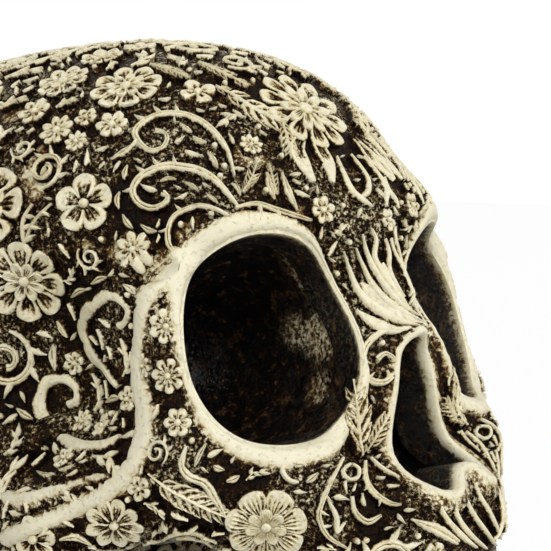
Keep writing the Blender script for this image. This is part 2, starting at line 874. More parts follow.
@dataclass
class Skin:
    """A casting's fine skin. Carvings are laid on its crown level, where the CAD solid is.

    Its cells are voxel millimetres wide and smoothed in rounds. The plug, with its centre,
    radius and depth in metres, shuts the casting's hollow first. Draw puts places onto the
    crown level, where the solid has it. The ground marks the vertices that are to be carved.
    """

    name: str
    node: bpy.types.Object
    voxel: float
    rounds: int
    plug: tuple[Vector, float, float] | None = None
    draw: Callable[[np.ndarray, float], tuple] | None = None
    ground: np.ndarray = field(init=False)
    weld_mm: float = 0.01
    stopper_sides: int = 64
    smoothing: float = 0.5
    normal_rounds: int = 4
    reach_mm: float = 7.0
    past_share: float = 2.4
    fall: float = 1.4
    pit_mm: float = 3.2
    pit_depth: float = 0.28
    pit_layers: Triple = (0.7, 2.1, 4)
    melt_rounds: int = 10
    draw_rounds: tuple = ((0.6, 2),) * 6 + ((1.0, 2),) * 3 + ((1.5, 1), (1.5, 1), (2.0, 0))

    def __post_init__(self) -> None:
        """Copies the CAD node and gives it an even, closed outer skin."""
        self.obj = bpy.data.objects.new(self.name, self.node.data.copy())
        bpy.context.scene.collection.objects.link(self.obj)
        self.obj.data.materials.clear()
        self._weld()
        if self.plug:
            centre, radius, depth = self.plug
            bpy.ops.object.select_all(action="DESELECT")
            bpy.ops.mesh.primitive_cylinder_add(vertices=self.stopper_sides, radius=radius,
                                                depth=depth, location=centre)
            stopper = bpy.context.object
            only(self.obj)
            stopper.select_set(True)
            bpy.ops.object.join()
        apply_modifier(self.obj, "REMESH", mode="VOXEL", voxel_size=self.voxel * MM,
                       adaptivity=0)
        self._keep_outside()
        apply_modifier(self.obj, "SMOOTH", factor=self.smoothing, iterations=self.rounds)
        if self.draw:
            self._melt_down()
        self._read_crown()

    def _melt_down(self) -> None:
        """Melts the solid's coarse carvings away and draws the skin onto its smooth form."""
        mesh = self.obj.data
        places = coordinates(mesh)
        edges = edge_ends(mesh)
        _, weights = self.draw(places, 0.0)
        places = relaxed(places, edges, weights, self.melt_rounds)
        for most, times in self.draw_rounds:
            places, weights = self.draw(places, most)
            places = relaxed(places, edges, weights, times)
        mesh.vertices.foreach_set("co", places.astype(np.float32).ravel())
        mesh.update()

    def _weld(self) -> None:
        """Joins the loose triangles of the CAD copy."""
        only(self.obj)
        bpy.ops.object.mode_set(mode="EDIT")
        bpy.ops.mesh.select_all(action="SELECT")
        bpy.ops.mesh.remove_doubles(threshold=self.weld_mm * MM)
        bpy.ops.object.mode_set(mode="OBJECT")

    def _keep_outside(self) -> None:
        """Deletes the skin of the shut inner hollow, which nothing shows."""
        front = int(coordinates(self.obj.data)[:, 1].argmin())
        pick(self.obj, "VERT", lambda vertex: vertex.index == front)
        bpy.ops.mesh.select_linked()
        bpy.ops.mesh.select_all(action="INVERT")
        bpy.ops.mesh.delete(type="VERT")
        bpy.ops.object.mode_set(mode="OBJECT")

    def _read_crown(self) -> None:
        """Keeps the crown level: places, smoothed normals and a tree for the rays.

        The folded places lie on the skull's right side.
        """
        mesh = self.obj.data
        self.places = coordinates(mesh)
        self.faces = [tuple(face.vertices) for face in mesh.polygons]
        edges = edge_ends(mesh)
        normals = coordinates(mesh, normals=True)
        for _ in range(self.normal_rounds):
            summed = normals.copy()
            np.add.at(summed, edges[:, 0], normals[edges[:, 1]])
            np.add.at(summed, edges[:, 1], normals[edges[:, 0]])
            normals = summed / np.linalg.norm(summed, axis=1, keepdims=True)
        self.normals = normals
        self.folded = np.column_stack((-np.abs(self.places[:, 0]), self.places[:, 1:]))
        self.normal_list = [Vector(n) for n in normals]
        self.tree = BVHTree.FromPolygons([Vector(p) for p in self.places], self.faces)

    def normal_of(self, face: int) -> Vector:
        """The smooth normal of a face.

        Args:
            face: The face's number.

        Returns:
            The normal.
        """
        total = Vector((0, 0, 0))
        for corner in self.faces[face]:
            total += self.normal_list[corner]
        return total.normalized()

    def hit(self, origin: Vector, direction: Vector) -> tuple[Vector, Vector] | None:
        """Where a ray meets the crown level, and the smooth normal there, or None."""
        place, _, face, _ = self.tree.ray_cast(origin, direction)
        return None if place is None else (place, self.normal_of(face))

    def lay(self, guess: Vector, normal: Vector, lift: float, over: bool = False) -> Vector:
        """Drops a point onto the crown level and lifts it by so many millimetres.

        Args:
            guess: The point.
            normal: The way out of the surface there.
            lift: How far above the crown level it ends.
            over: Whether it hangs where the surface falls away under it.

        Returns:
            The place.
        """
        reach = self.reach_mm * MM
        place, _, face, _ = self.tree.ray_cast(guess + normal * reach, -normal,
                                               self.past_share * reach)
        if place is None:
            place, _, face, _ = self.tree.find_nearest(guess)
        if over and (guess - place).dot(normal) > self.fall * MM:
            return guess + normal * lift * MM
        return place + self.normal_of(face) * lift * MM

    def sink(self, weights: np.ndarray, depth: float) -> None:
        """Lowers the ground between the bands.

        Args:
            weights: For each vertex, 1 where the skin stays at its crown level.
            depth: How far the ground lies below it, in millimetres.
        """
        rough = np.array([noise.fractal(Vector(p) / (self.pit_mm * MM), *self.pit_layers)
                          for p in self.places]) * self.pit_depth
        drop = (1 - weights) * (depth + rough)
        lowered = self.places - self.normals * (drop * MM)[:, None]
        self.obj.data.vertices.foreach_set("co", lowered.astype(np.float32).ravel())
        self.obj.data.update()


@dataclass(frozen=True)
class Chart:
    """A flat patch that touches the crown level, with its own right, up and outward sides."""

    place: Vector
    right: Vector
    up: Vector
    normal: Vector

    @classmethod
    def on(cls, place: Vector, normal: Vector, right: Vector) -> "Chart":
        """A chart at a place, with its right side as near as it goes to the given one."""
        along = (right - normal * right.dot(normal)).normalized()
        return cls(place, along, normal.cross(along), normal)

    def at(self, u: float, v: float) -> Vector:
        """The place that lies u to the right and v up, in millimetres."""
        return self.place + (self.right * u + self.up * v) * MM

    def moved(self, u: float, v: float, turn_deg: float) -> "Chart":
        """The same chart moved by u and v and turned to the left.

        Args:
            u: Millimetres to the right.
            v: Millimetres up.
            turn_deg: How far it is turned.

        Returns:
            The new chart.
        """
        angle = math.radians(turn_deg)
        right = self.right * math.cos(angle) + self.up * math.sin(angle)
        return Chart(self.at(u, v), right, self.normal.cross(right), self.normal)


@dataclass
class Taken:
    """The room that carvings have taken, as discs, folded onto the skull's right side."""

    most: int = 20000
    count: int = 0

    def __post_init__(self) -> None:
        """Makes room for the discs."""
        self.discs = np.zeros((self.most, 4))

    def take(self, place: Vector, radius: float) -> None:
        """Takes a disc of so many millimetres."""
        self.discs[self.count] = (-abs(place.x), place.y, place.z, radius * MM)
        self.count += 1

    def free(self, place: Sequence[float], radius: float) -> bool:
        """Whether a disc of so many millimetres touches none that is taken.

        Args:
            place: Its middle.
            radius: Its radius in millimetres.

        Returns:
            True where it has room.
        """
        taken = self.discs[:self.count]
        gaps = np.linalg.norm(taken[:, :3] - (-abs(place[0]), place[1], place[2]), axis=1)
        return bool((gaps > taken[:, 3] + radius * MM).all())


Spot = tuple[Vector, Vector]
Profile = Callable[[float, float], float]


def smooth_line(points: Sequence[Sequence[float]], parts: int) -> list[tuple[float, ...]]:
    """A smooth curve through points of any dimension.

    Args:
        points: The points that it passes, in order.
        parts: How many steps lie between one point and the next.

    Returns:
        The points of the curve, both ends among them.
    """
    line = []
    for i in range(len(points) - 1):
        before, a = points[max(i - 1, 0)], points[i]
        b, after = points[i + 1], points[min(i + 2, len(points) - 1)]
        for step in range(parts):
            t = step / parts
            line.append(tuple(
                0.5 * (2 * q + (r - p) * t + (2 * p - 5 * q + 4 * r - s) * t * t
                       + (3 * q - p - 3 * r + s) * t ** 3)
                for p, q, r, s in zip(before, a, b, after)))
    line.append(tuple(points[-1]))
    return line


def vein(x: float, width: float) -> float:
    """A smooth line along a top: 1 on it, and less with the share across away from it."""
    return math.exp(-(x / width) ** 2)


def foot_of(t: float) -> float:
    """How near a share along is to the foot of a petal, where its top sinks."""
    return 1 - ease(t, 0.0, 0.25)


def rounded(t: float, x: float) -> float:
    """A plain rounded top."""
    return -0.05 - 0.85 * abs(x) ** 2.4


def grooved(t: float, x: float) -> float:
    """A rounded top with a fine groove along its middle."""
    return rounded(t, x) - 0.6 * vein(x, 0.2) * ease(t, 0.02, 0.2)


def flush(t: float, x: float) -> float:
    """A broad, nearly flat top that lies a little below the others."""
    return -0.38 - 0.7 * abs(x) ** 4


def petal_top(t: float, x: float) -> float:
    """A dished petal: low at its heart, with three veins and a raised rim.

    Args:
        t: The share along it.
        x: The share across it, from -1 to 1.

    Returns:
        The height of its top in millimetres.
    """
    veins = sum(vein(x - at, 0.12) for at in (-0.4, 0.0, 0.4))
    dish = 0.42 * (1 - x * x) * (1 - ease(t, 0.55, 0.95))
    notch = 0.7 * vein(x, 0.25) * ease(t, 0.93, 1.0)
    return (-0.04 - 0.8 * abs(x) ** 6 - dish - 0.85 * veins * (1 - ease(t, 0.35, 0.72)) - notch
            - 0.9 * foot_of(t))


def plain_petal(t: float, x: float) -> float:
    """A small petal: rounded, with one groove at its foot."""
    return (-0.06 - 0.7 * abs(x) ** 3 - 0.8 * vein(x, 0.3) * (1 - ease(t, 0.3, 0.7))
            - 0.5 * foot_of(t))


def fan_top(t: float, x: float) -> float:
    """A broad petal with five veins and a turned-up rim.

    Args:
        t: The share along it.
        x: The share across it, from -1 to 1.

    Returns:
        The height of its top in millimetres.
    """
    veins = sum(vein(x - at, 0.09) for at in (-0.64, -0.32, 0.0, 0.32, 0.64))
    return (-0.04 - 0.7 * abs(x) ** 6 - 0.75 * veins * (1 - ease(t, 0.45, 0.85))
            - 0.9 * foot_of(t))


def leaf_top(t: float, x: float) -> float:
    """A leaf with a sunk middle line and slanting side veins."""
    side = 0.3 * (0.5 + 0.5 * math.cos(TURN * (4.5 * t - 1.2 * abs(x)))) * abs(x)
    return -0.08 - 0.6 * abs(x) ** 3 - 0.75 * vein(x, 0.16) - side


def wear_of(lift: float) -> float:
    """How worn the wash is at a height above the ground, from 0 dark to 1 ivory."""
    return 0.06 + 0.8 * ease(lift, -0.95, -0.3)


@dataclass
class Relief:
    """Carvings of one part of the head, gathered into one mesh over the crown level.

    What is laid gets a mirror image while mirror is set, and lies over the rims while over
    is. Columns are shares across a strip, and few those of small carvings. A frond's leaf has
    its length, its half widths and its bend as shares. A swell starts with a least width.
    What a carving takes, and a curl's reach and half width, are shares of its size.
    """

    name: str
    skin: Skin
    view: PhotoView
    taken: Taken
    mirror: bool = True
    over: bool = False
    foot: float = -2.7
    columns: tuple[float, ...] = (-1.0, -0.86, -0.64, -0.5, -0.4, -0.3, -0.14, 0.0, 0.14, 0.3,
                                  0.4, 0.5, 0.64, 0.86, 1.0)
    few: tuple[float, ...] = (-1.0, -0.6, 0.0, 0.6, 1.0)
    parts: int = 4
    skirt: float = 0.25
    overlap: float = 0.8
    off_middle: float = 0.5
    taken_share: float = 0.9
    taken_every: int = 3
    small_radius: float = 4.6
    lobe_depth: float = 0.75
    lobe_power: float = 0.6
    lobes_per_half: float = 1.15
    least_px: float = 0.4
    least_petal: float = 0.12
    least_leaf: float = 0.1
    least_line: float = 0.15
    least_rib: float = 0.25
    leaf_rows: int = 8
    bead_rows: int = 7
    flower_rows: tuple[int, int] = (11, 6)
    petal_swell: Pair = (0.3, 0.7)
    petal_room: Pair = (0.6, 0.45)
    inner_room: Pair = (0.55, 0.35)
    inner_lift: float = 0.15
    heart_lift: float = 0.2
    flower_taken: float = 0.94
    leaf_swell: Pair = (0.08, 0.92)
    leaf_power: float = 0.8
    small_leaf: float = 6.0
    sprig_shares: Four = (0.12, 0.34, 0.56, 0.78)
    sprig_lean_deg: float = 48.0
    sprig_taken: float = 0.7
    curl_rows: int = 26
    curl_turns: float = 1.45
    curl_reach: Pair = (0.86, 0.66)
    curl_half: float = 0.15
    curl_swell: Pair = (0.35, 0.65)
    curl_tufts: Four = (0.1, 0.2, 0.3, 0.4)
    curl_tuft: float = 0.42
    curl_lean_deg: float = 42.0
    curl_taken: float = 0.86
    small_curl: float = 5.0
    rib_share: float = 0.16
    frond_leaf: Four = (1.15, 0.52, 0.34, 0.28)
    smooth_deg: float = 55.0

    def __post_init__(self) -> None:
        """Finds the camera's place and starts with nothing laid."""
        self.eye = self.view.position()
        self.points: list[Vector] = []
        self.wear: list[float] = []
        self.gloom: list[float] = []
        self.faces: list[tuple[int, ...]] = []

    def seen(self, pixel: Pixel) -> Spot | None:
        """The place of the crown level that a pixel of the photo shows, with its normal."""
        return self.skin.hit(self.eye, self.view.ray(pixel))

    def aside(self, spots: Sequence[Spot]) -> bool:
        """Whether spots lie so far off the skull's middle that a mirror image has room."""
        return bool(spots) and max(place.x for place, _ in spots) < -self.off_middle * MM

    def size_at(self, place: Vector, pixels: float) -> float:
        """Millimetres that so many pixels span at a place."""
        return pixels * self.view.pixel_size(place)

    def chart(self, pixel: Pixel, turn_deg: float = 0) -> Chart | None:
        """A chart at a pixel, whose right side is the photo's, turned to the left.

        Args:
            pixel: The pixel.
            turn_deg: How far it is turned.

        Returns:
            The chart, or None where the pixel misses the skin.
        """
        spot = self.seen(pixel)
        if spot is None:
            LOG.warning("pixel %s misses the skin", pixel)
            return None
        return Chart.on(spot[0], spot[1], self.view.axes()[0]).moved(0, 0, turn_deg)

    def trace(self, points: Sequence[Sequence[float]], parts: int = 4) -> tuple[list, list]:
        """Follows pixels of the photo on the crown level.

        Args:
            points: Pixels, each with a half width in pixels.
            parts: How many steps lie between one pixel and the next.

        Returns:
            The spots, and the half widths in millimetres.
        """
        spots, halves = [], []
        for x, y, half in smooth_line(points, parts):
            spot = self.seen((x, y))
            if spot:
                spots.append(spot)
                halves.append(self.size_at(spot[0], max(half, self.least_px)))
        return spots, halves

    def strip(self, spots: Sequence[Spot], halves: Sequence[float], top: Profile = rounded,
              columns: Sequence[float] | None = None, lobes: int = 0) -> None:
        """Lays a closed strip along spots.

        Args:
            spots: Places near the crown level with their normals, along the middle.
            halves: Half width at each spot, in millimetres.
            top: Height of the top in millimetres, from the share along and the share across.
            columns: Shares across at which the top has points.
            lobes: How many lobes its edge has, on its right, or on its left where negative.
        """
        columns = columns or self.columns
        last = len(spots) - 1
        if last < 1:
            return
        rows = []
        for i, ((place, normal), half) in enumerate(zip(spots, halves)):
            ahead = spots[min(i + 1, last)][0] - spots[max(i - 1, 0)][0]
            side = ahead.cross(normal)
            if side.length < 1e-9:
                continue
            side.normalize()
            lifts = [(x, top(i / last, x)) for x in columns]
            wave = abs(math.sin(math.pi * lobes * i / last)) ** self.lobe_power
            lobe = 1 + self.lobe_depth * wave
            reach = [half * (lobe if x * lobes > 0 else 1) for x in columns]
            raised = self.overlap if self.over else 0.0
            row = [(self.skin.lay(place + side * x * wide * MM, normal, lift + raised, self.over),
                    wear_of(lift), 0.0) for (x, lift), wide in zip(lifts, reach)]
            for x, wide in ((columns[-1], reach[-1]), (columns[0], reach[0])):
                spread = x * (wide + self.skirt)
                row.append((self.skin.lay(place + side * spread * MM, normal,
                                          self.foot + raised, self.over), 0.0, 0.0))
            rows.append(row)
            if i % self.taken_every == 0:
                self.taken.take(place, half * self.taken_share)
        self.close(rows)

    def close(self, rows: list[list[tuple[Vector, float, float]]], loop: bool = False) -> None:
        """Adds rows of a closed section as one closed shape, and its mirror image.

        Args:
            rows: For each row its points, each with its wear and its gloom.
            loop: Whether the last row joins the first.
        """
        width = len(rows[0])
        for sign in (1, -1) if self.mirror else (1,):
            start = len(self.points)
            for row in rows:
                for point, wear, gloom in row:
                    self.points.append(Vector((point.x * sign, point.y, point.z)))
                    self.wear.append(wear)
                    self.gloom.append(gloom)
            made = [] if loop else [tuple(range(start + width - 1, start - 1, -1)),
                                    tuple(range(len(self.points) - width, len(self.points)))]
            for r in range(len(rows) - (0 if loop else 1)):
                a, b = start + r * width, start + (r + 1) % len(rows) * width
                for c in range(width):
                    d = (c + 1) % width
                    made.append((a + c, a + d, b + d, b + c))
            self.faces += [face[::-1] for face in made] if sign < 0 else made

    def petal(self, chart: Chart, start: float, length: float, half: float,
              top: Profile = petal_top, rows: int = 9, blunt: float = 0.75,
              columns: Sequence[float] | None = None) -> None:
        """A petal along the chart's right side.

        Args:
            chart: Where it grows from.
            start: Where it begins, in millimetres from the chart's middle.
            length: Its length in millimetres.
            half: Its greatest half width in millimetres.
            top: Its top.
            rows: How many sections it has.
            blunt: Where along it is widest, as a share.
            columns: Shares across at which the top has points.
        """
        spots, halves = [], []
        least, more = self.petal_swell
        for i in range(rows):
            t = 0.5 - 0.5 * math.cos(math.pi * i / (rows - 1))
            spots.append((chart.at(start + length * t, 0), chart.normal))
            if t < blunt:
                share = least + more * math.sin(math.pi / 2 * t / blunt)
            else:
                share = math.sqrt(max(1 - ((t - blunt) / (1 - blunt)) ** 2, 0))
            halves.append(max(half * share, self.least_petal))
        self.strip(spots, halves, top, columns)

    def leaf(self, chart: Chart, start: float, length: float, half: float, bend: float,
             top: Profile = rounded) -> None:
        """A pointed leaf along the chart's right side.

        Args:
            chart: Where it grows from.
            start: Where it begins, in millimetres from the chart's middle.
            length: Its length in millimetres.
            half: Its greatest half width in millimetres.
            bend: How far its tip leans to the left, as a share of its length.
            top: Its top.
        """
        spots, halves = [], []
        least, more = self.leaf_swell
        for i in range(self.leaf_rows):
            t = i / (self.leaf_rows - 1)
            spots.append((chart.at(start + length * t, bend * length * t * t), chart.normal))
            wide = math.sin(math.pi * (least + more * t ** self.leaf_power))
            halves.append(max(half * wide, self.least_leaf))
        self.strip(spots, halves, top, self.few if length < self.small_leaf else self.columns)

    def sprig(self, chart: Chart, size: float, hand: int) -> None:
        """A bent stem with leaves on both sides and one at its tip, within a disc.

        Args:
            chart: The disc's middle.
            size: Its radius in millimetres.
            hand: 1 where it bends left, -1 where it bends right.
        """
        points = [(-size, -0.5 * hand * size, size * 0.06), (-0.4 * size, 0.12 * hand * size,
                  size * 0.07), (0.2 * size, 0.1 * hand * size, size * 0.05)]
        spots, halves = self.drawn(chart, points)
        self.strip(spots, halves, rounded, self.few)
        last = len(spots) - 1
        for n, share in enumerate(self.sprig_shares):
            i = min(round(share * last), last - 1)
            way = 1 if n % 2 else -1
            branch = Chart.on(spots[i][0], chart.normal, spots[i + 1][0] - spots[i][0])
            self.leaf(branch.moved(0, 0, way * self.sprig_lean_deg), 0, size * 0.62,
                      size * 0.17, way * -0.3)
        tip = Chart.on(spots[last][0], chart.normal, spots[last][0] - spots[last - 1][0])
        self.leaf(tip, -0.05 * size, size * 0.8, size * 0.2, 0.1 * hand)
        self.taken.take(chart.place, size * self.sprig_taken)

    def bead(self, chart: Chart, radius: float, lift: float = 0.1) -> None:
        """A round bead.

        Args:
            chart: Its middle.
            radius: Its radius in millimetres.
            lift: Height of its top over the crown level.
        """
        spots, halves = [], []
        for i in range(self.bead_rows):
            x = -math.cos(math.pi * i / (self.bead_rows - 1))
            spots.append((chart.at(radius * x * 0.98, 0), chart.normal))
            halves.append(max(radius * math.sqrt(1 - x * x), self.least_petal))
        self.strip(spots, halves,
                   lambda t, x: lift - 0.7 * (1 - math.sin(math.pi * t) * (1 - x * x)) ** 1.5,
                   self.few)

    def flower(self, chart: Chart, radius: float, petals: int, spread: float = 0.9,
               inner: float = 0.0, heart: float = 0.2, top: Profile = petal_top,
               blunt: float = 0.72) -> None:
        """A flower with a bead in its heart.

        Args:
            chart: Its middle.
            radius: Its radius in millimetres.
            petals: How many petals it has.
            spread: Petal width as a share of the room that each has.
            inner: Radius of an inner ring of petals as a share, or 0 for none.
            heart: Radius of the bead as a share.
            top: The petals' top.
            blunt: Where along the petals are widest.
        """
        self.mirror = chart.place.x < -0.8 * radius * MM
        large = radius > self.small_radius
        rows = self.flower_rows[0 if large else 1]
        columns = self.columns if large else self.few
        top = top if large else plain_petal
        least, more = self.petal_room
        room = radius * math.sin(math.pi / petals) * (least + more * blunt)
        for i in range(petals):
            way = chart.moved(0, 0, 360 * i / petals)
            begin = radius * max(heart * 0.8, inner * 0.75)
            self.petal(way, begin, radius - begin, room * spread, top, rows, blunt, columns)
        if inner:
            least, more = self.inner_room
            room = radius * inner * math.sin(math.pi / petals) * (least + more * blunt)
            for i in range(petals):
                way = chart.moved(0, 0, 360 * (i + 0.5) / petals)
                self.petal(way, radius * heart * 0.7, radius * (inner - heart * 0.7),
                           room * spread, lambda t, x: top(t, x) + self.inner_lift, rows - 2,
                           blunt, columns)
        self.bead(chart, radius * heart, self.heart_lift)
        self.taken.take(chart.place, radius * self.flower_taken)

    def curve(self, points: Sequence[Sequence[float]], top: Profile = grooved,
              parts: int = 4, lobes: int = 0) -> list[Spot]:
        """Lays a strip along pixels of the photo.

        Args:
            points: Pixels, each with a half width in pixels.
            top: The strip's top.
            parts: How many steps lie between one pixel and the next.
            lobes: How many lobes its edge has, as in strip.

        Returns:
            The strip's spots.
        """
        spots, halves = self.trace(points, parts)
        self.mirror = self.aside(spots)
        self.strip(spots, halves, top, None, lobes)
        return spots

    def tufts(self, spots: Sequence[Spot], outer: int, places: Iterable[Pair],
              lean_deg: float = 55) -> None:
        """Leaflets that branch off a strip.

        Args:
            spots: The strip's spots.
            outer: 1 where they grow on its right side, -1 on its left.
            places: Share along and length in millimetres of each.
            lean_deg: How far they turn away from the strip.
        """
        last = len(spots) - 1
        for share, length in places:
            i = min(max(round(share * last), 1), last - 1)
            place, normal = spots[i]
            ahead = spots[i + 1][0] - spots[i - 1][0]
            chart = Chart.on(place, normal, ahead)
            chart = chart.moved(-length * 0.25, 0, -outer * lean_deg)
            self.leaf(chart, 0, length * 1.2, length * 0.27, -0.25 * outer)

    def drawn(self, chart: Chart, points: Sequence[Triple],
              parts: int = 3) -> tuple[list, list]:
        """A smooth line on a chart, from places and half widths in millimetres.

        Args:
            chart: The chart.
            points: Right, up and half width of each.
            parts: How many steps lie between one and the next.

        Returns:
            The spots and the half widths.
        """
        line = smooth_line(points, parts)
        return ([(chart.at(u, v), chart.normal) for u, v, _ in line],
                [max(half, self.least_line) for _, _, half in line])

    def curl(self, chart: Chart, size: float, hand: int) -> None:
        """A leafy curl that fills a disc.

        Args:
            chart: The disc's middle.
            size: Its radius in millimetres.
            hand: 1 where it turns left, -1 where it turns right.
        """
        points = []
        outside, inwards = self.curl_reach
        least, more = self.curl_swell
        for i in range(self.curl_rows + 1):
            t = i / self.curl_rows
            reach = size * (outside - inwards * t ** 0.8)
            angle = hand * TURN * self.curl_turns * t
            swell = least + more * math.sin(math.pi * min(t * 1.6, 0.5))
            half = size * self.curl_half * swell
            points.append((reach * math.cos(angle), reach * math.sin(angle),
                           half * (1 - 0.45 * t) * (1.5 if t > 0.95 else 1)))
        spots = [(chart.at(u, v), chart.normal) for u, v, _ in points]
        halves = [half for _, _, half in points]
        self.strip(spots, halves, grooved if size > self.small_curl else rounded)
        tufts = [(share, size * self.curl_tuft) for share in self.curl_tufts]
        self.tufts(spots, hand, tufts, self.curl_lean_deg)
        self.taken.take(chart.place, size * self.curl_taken)

    def frond(self, spots: Sequence[Spot], halves: Sequence[float], lobes: int,
              lean_deg: float = 48) -> None:
        """A leaf cut into lobes along a middle rib.

        Args:
            spots: Places along its rib.
            halves: Half width of the whole leaf at each, in millimetres.
            lobes: The fewest lobes that it has on each side.
            lean_deg: How far they turn away from the rib.
        """
        last = len(spots) - 1
        length = sum((spots[i + 1][0] - spots[i][0]).length for i in range(last)) / MM
        lobes = max(lobes, round(length / max(halves) * self.lobes_per_half))
        room = length / lobes
        long, wide_room, wide_reach, bend = self.frond_leaf
        for lobe in range(lobes):
            share = (lobe + 0.25) / lobes * 0.92
            i = min(max(round(share * last), 0), last - 1)
            place, normal = spots[i]
            ahead = spots[min(i + 1, last)][0] - spots[max(i - 1, 0)][0]
            chart = Chart.on(place, normal, ahead)
            reach = halves[i] / math.sin(math.radians(lean_deg))
            for way in (1, -1):
                self.leaf(chart.moved(0, 0, way * lean_deg), 0, reach * long,
                          min(room * wide_room, reach * wide_reach), -bend * way, leaf_top)
        ribs = [max(half * self.rib_share, self.least_rib) for half in halves]
        self.strip(spots, ribs, rounded, self.few)

    def make(self, finish: bpy.types.Material) -> None:
        """Turns what is gathered into an object that rides on the root body.

        Args:
            finish: Its material.
        """
        mesh = bpy.data.meshes.new(self.name)
        mesh.from_pydata(self.points, [], self.faces)
        obj = bpy.data.objects.new(self.name, mesh)
        bpy.context.scene.collection.objects.link(obj)
        set_attribute(mesh, "wear", self.wear)
        set_attribute(mesh, "gloom", self.gloom)
        mesh.materials.append(finish)
        only(obj)
        bpy.ops.object.shade_smooth_by_angle(angle=math.radians(self.smooth_deg))
        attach(obj, "root")
        LOG.info("%s: %d points", self.name, len(self.points))


@dataclass(frozen=True)
class Bloom:
    """A flower of the photo: its middle and radius in pixels, its petals and their look."""

    centre: Pixel
    radius_px: float
    petals: int
    turn_deg: float = 0.0
    inner: float = 0.0
    heart: float = 0.2
    spread: float = 0.9
    blunt: float = 0.72
    broad: bool = False


@dataclass(frozen=True)
class Scroll:
    """A curling strip: pixels and half widths along it, and leaflets (share, length in px).

    A bed is a broad one that the others lie on.
    """

    points: tuple[Triple, ...]
    outer: int = 0
    tufts: tuple[Pair, ...] = ()
    plain: bool = False
    lobes: int = 0
    bed: bool = False


@dataclass(frozen=True)
class Frond:
    """A lobed leaf: pixels and half widths along its rib, and its lobes on each side.

    One that lies over lies on a rim, past its edge.
    """

    points: tuple[Triple, ...]
    lobes: int = 4
    over: bool = False


BLOOMS = (
    Bloom((307, 106), 52, 10, 8, 0.62, 0.16, 0.82, 0.66), Bloom((125, 83), 37, 8, 10, 0.55, 0.16),
    Bloom((198, 89), 19, 4, 30, 0, 0.22, 0.8), Bloom((33, 109), 18, 6, 0, 0, 0.24),
    Bloom((55, 128), 19, 8, 10, 0, 0.24), Bloom((111, 122), 17, 6, 0, 0, 0.24),
    Bloom((82, 202), 31, 5, 18, 0, 0.16, 0.85, 0.7), Bloom((23, 283), 44, 8, 4, 0.5, 0.13),
    Bloom((166, 326), 18, 7, 0, 0.5, 0.2), Bloom((167, 376), 18, 7, 20, 0.5, 0.2),
    Bloom((113, 528), 31, 9, 0, 0, 0.16), Bloom((31, 541), 25, 7, 10, 0, 0.2),
    Bloom((266, 529), 42, 7, 12, 0.5, 0.14, 0.95, 0.66, True),
    Bloom((177, 422), 15, 6, 0, 0, 0.25), Bloom((391, 219), 12, 5, 0, 0, 0.25),
    Bloom((325, 209), 15, 6, 20, 0, 0.25), Bloom((101, 54), 22, 7, 0, 0.5, 0.2),
)

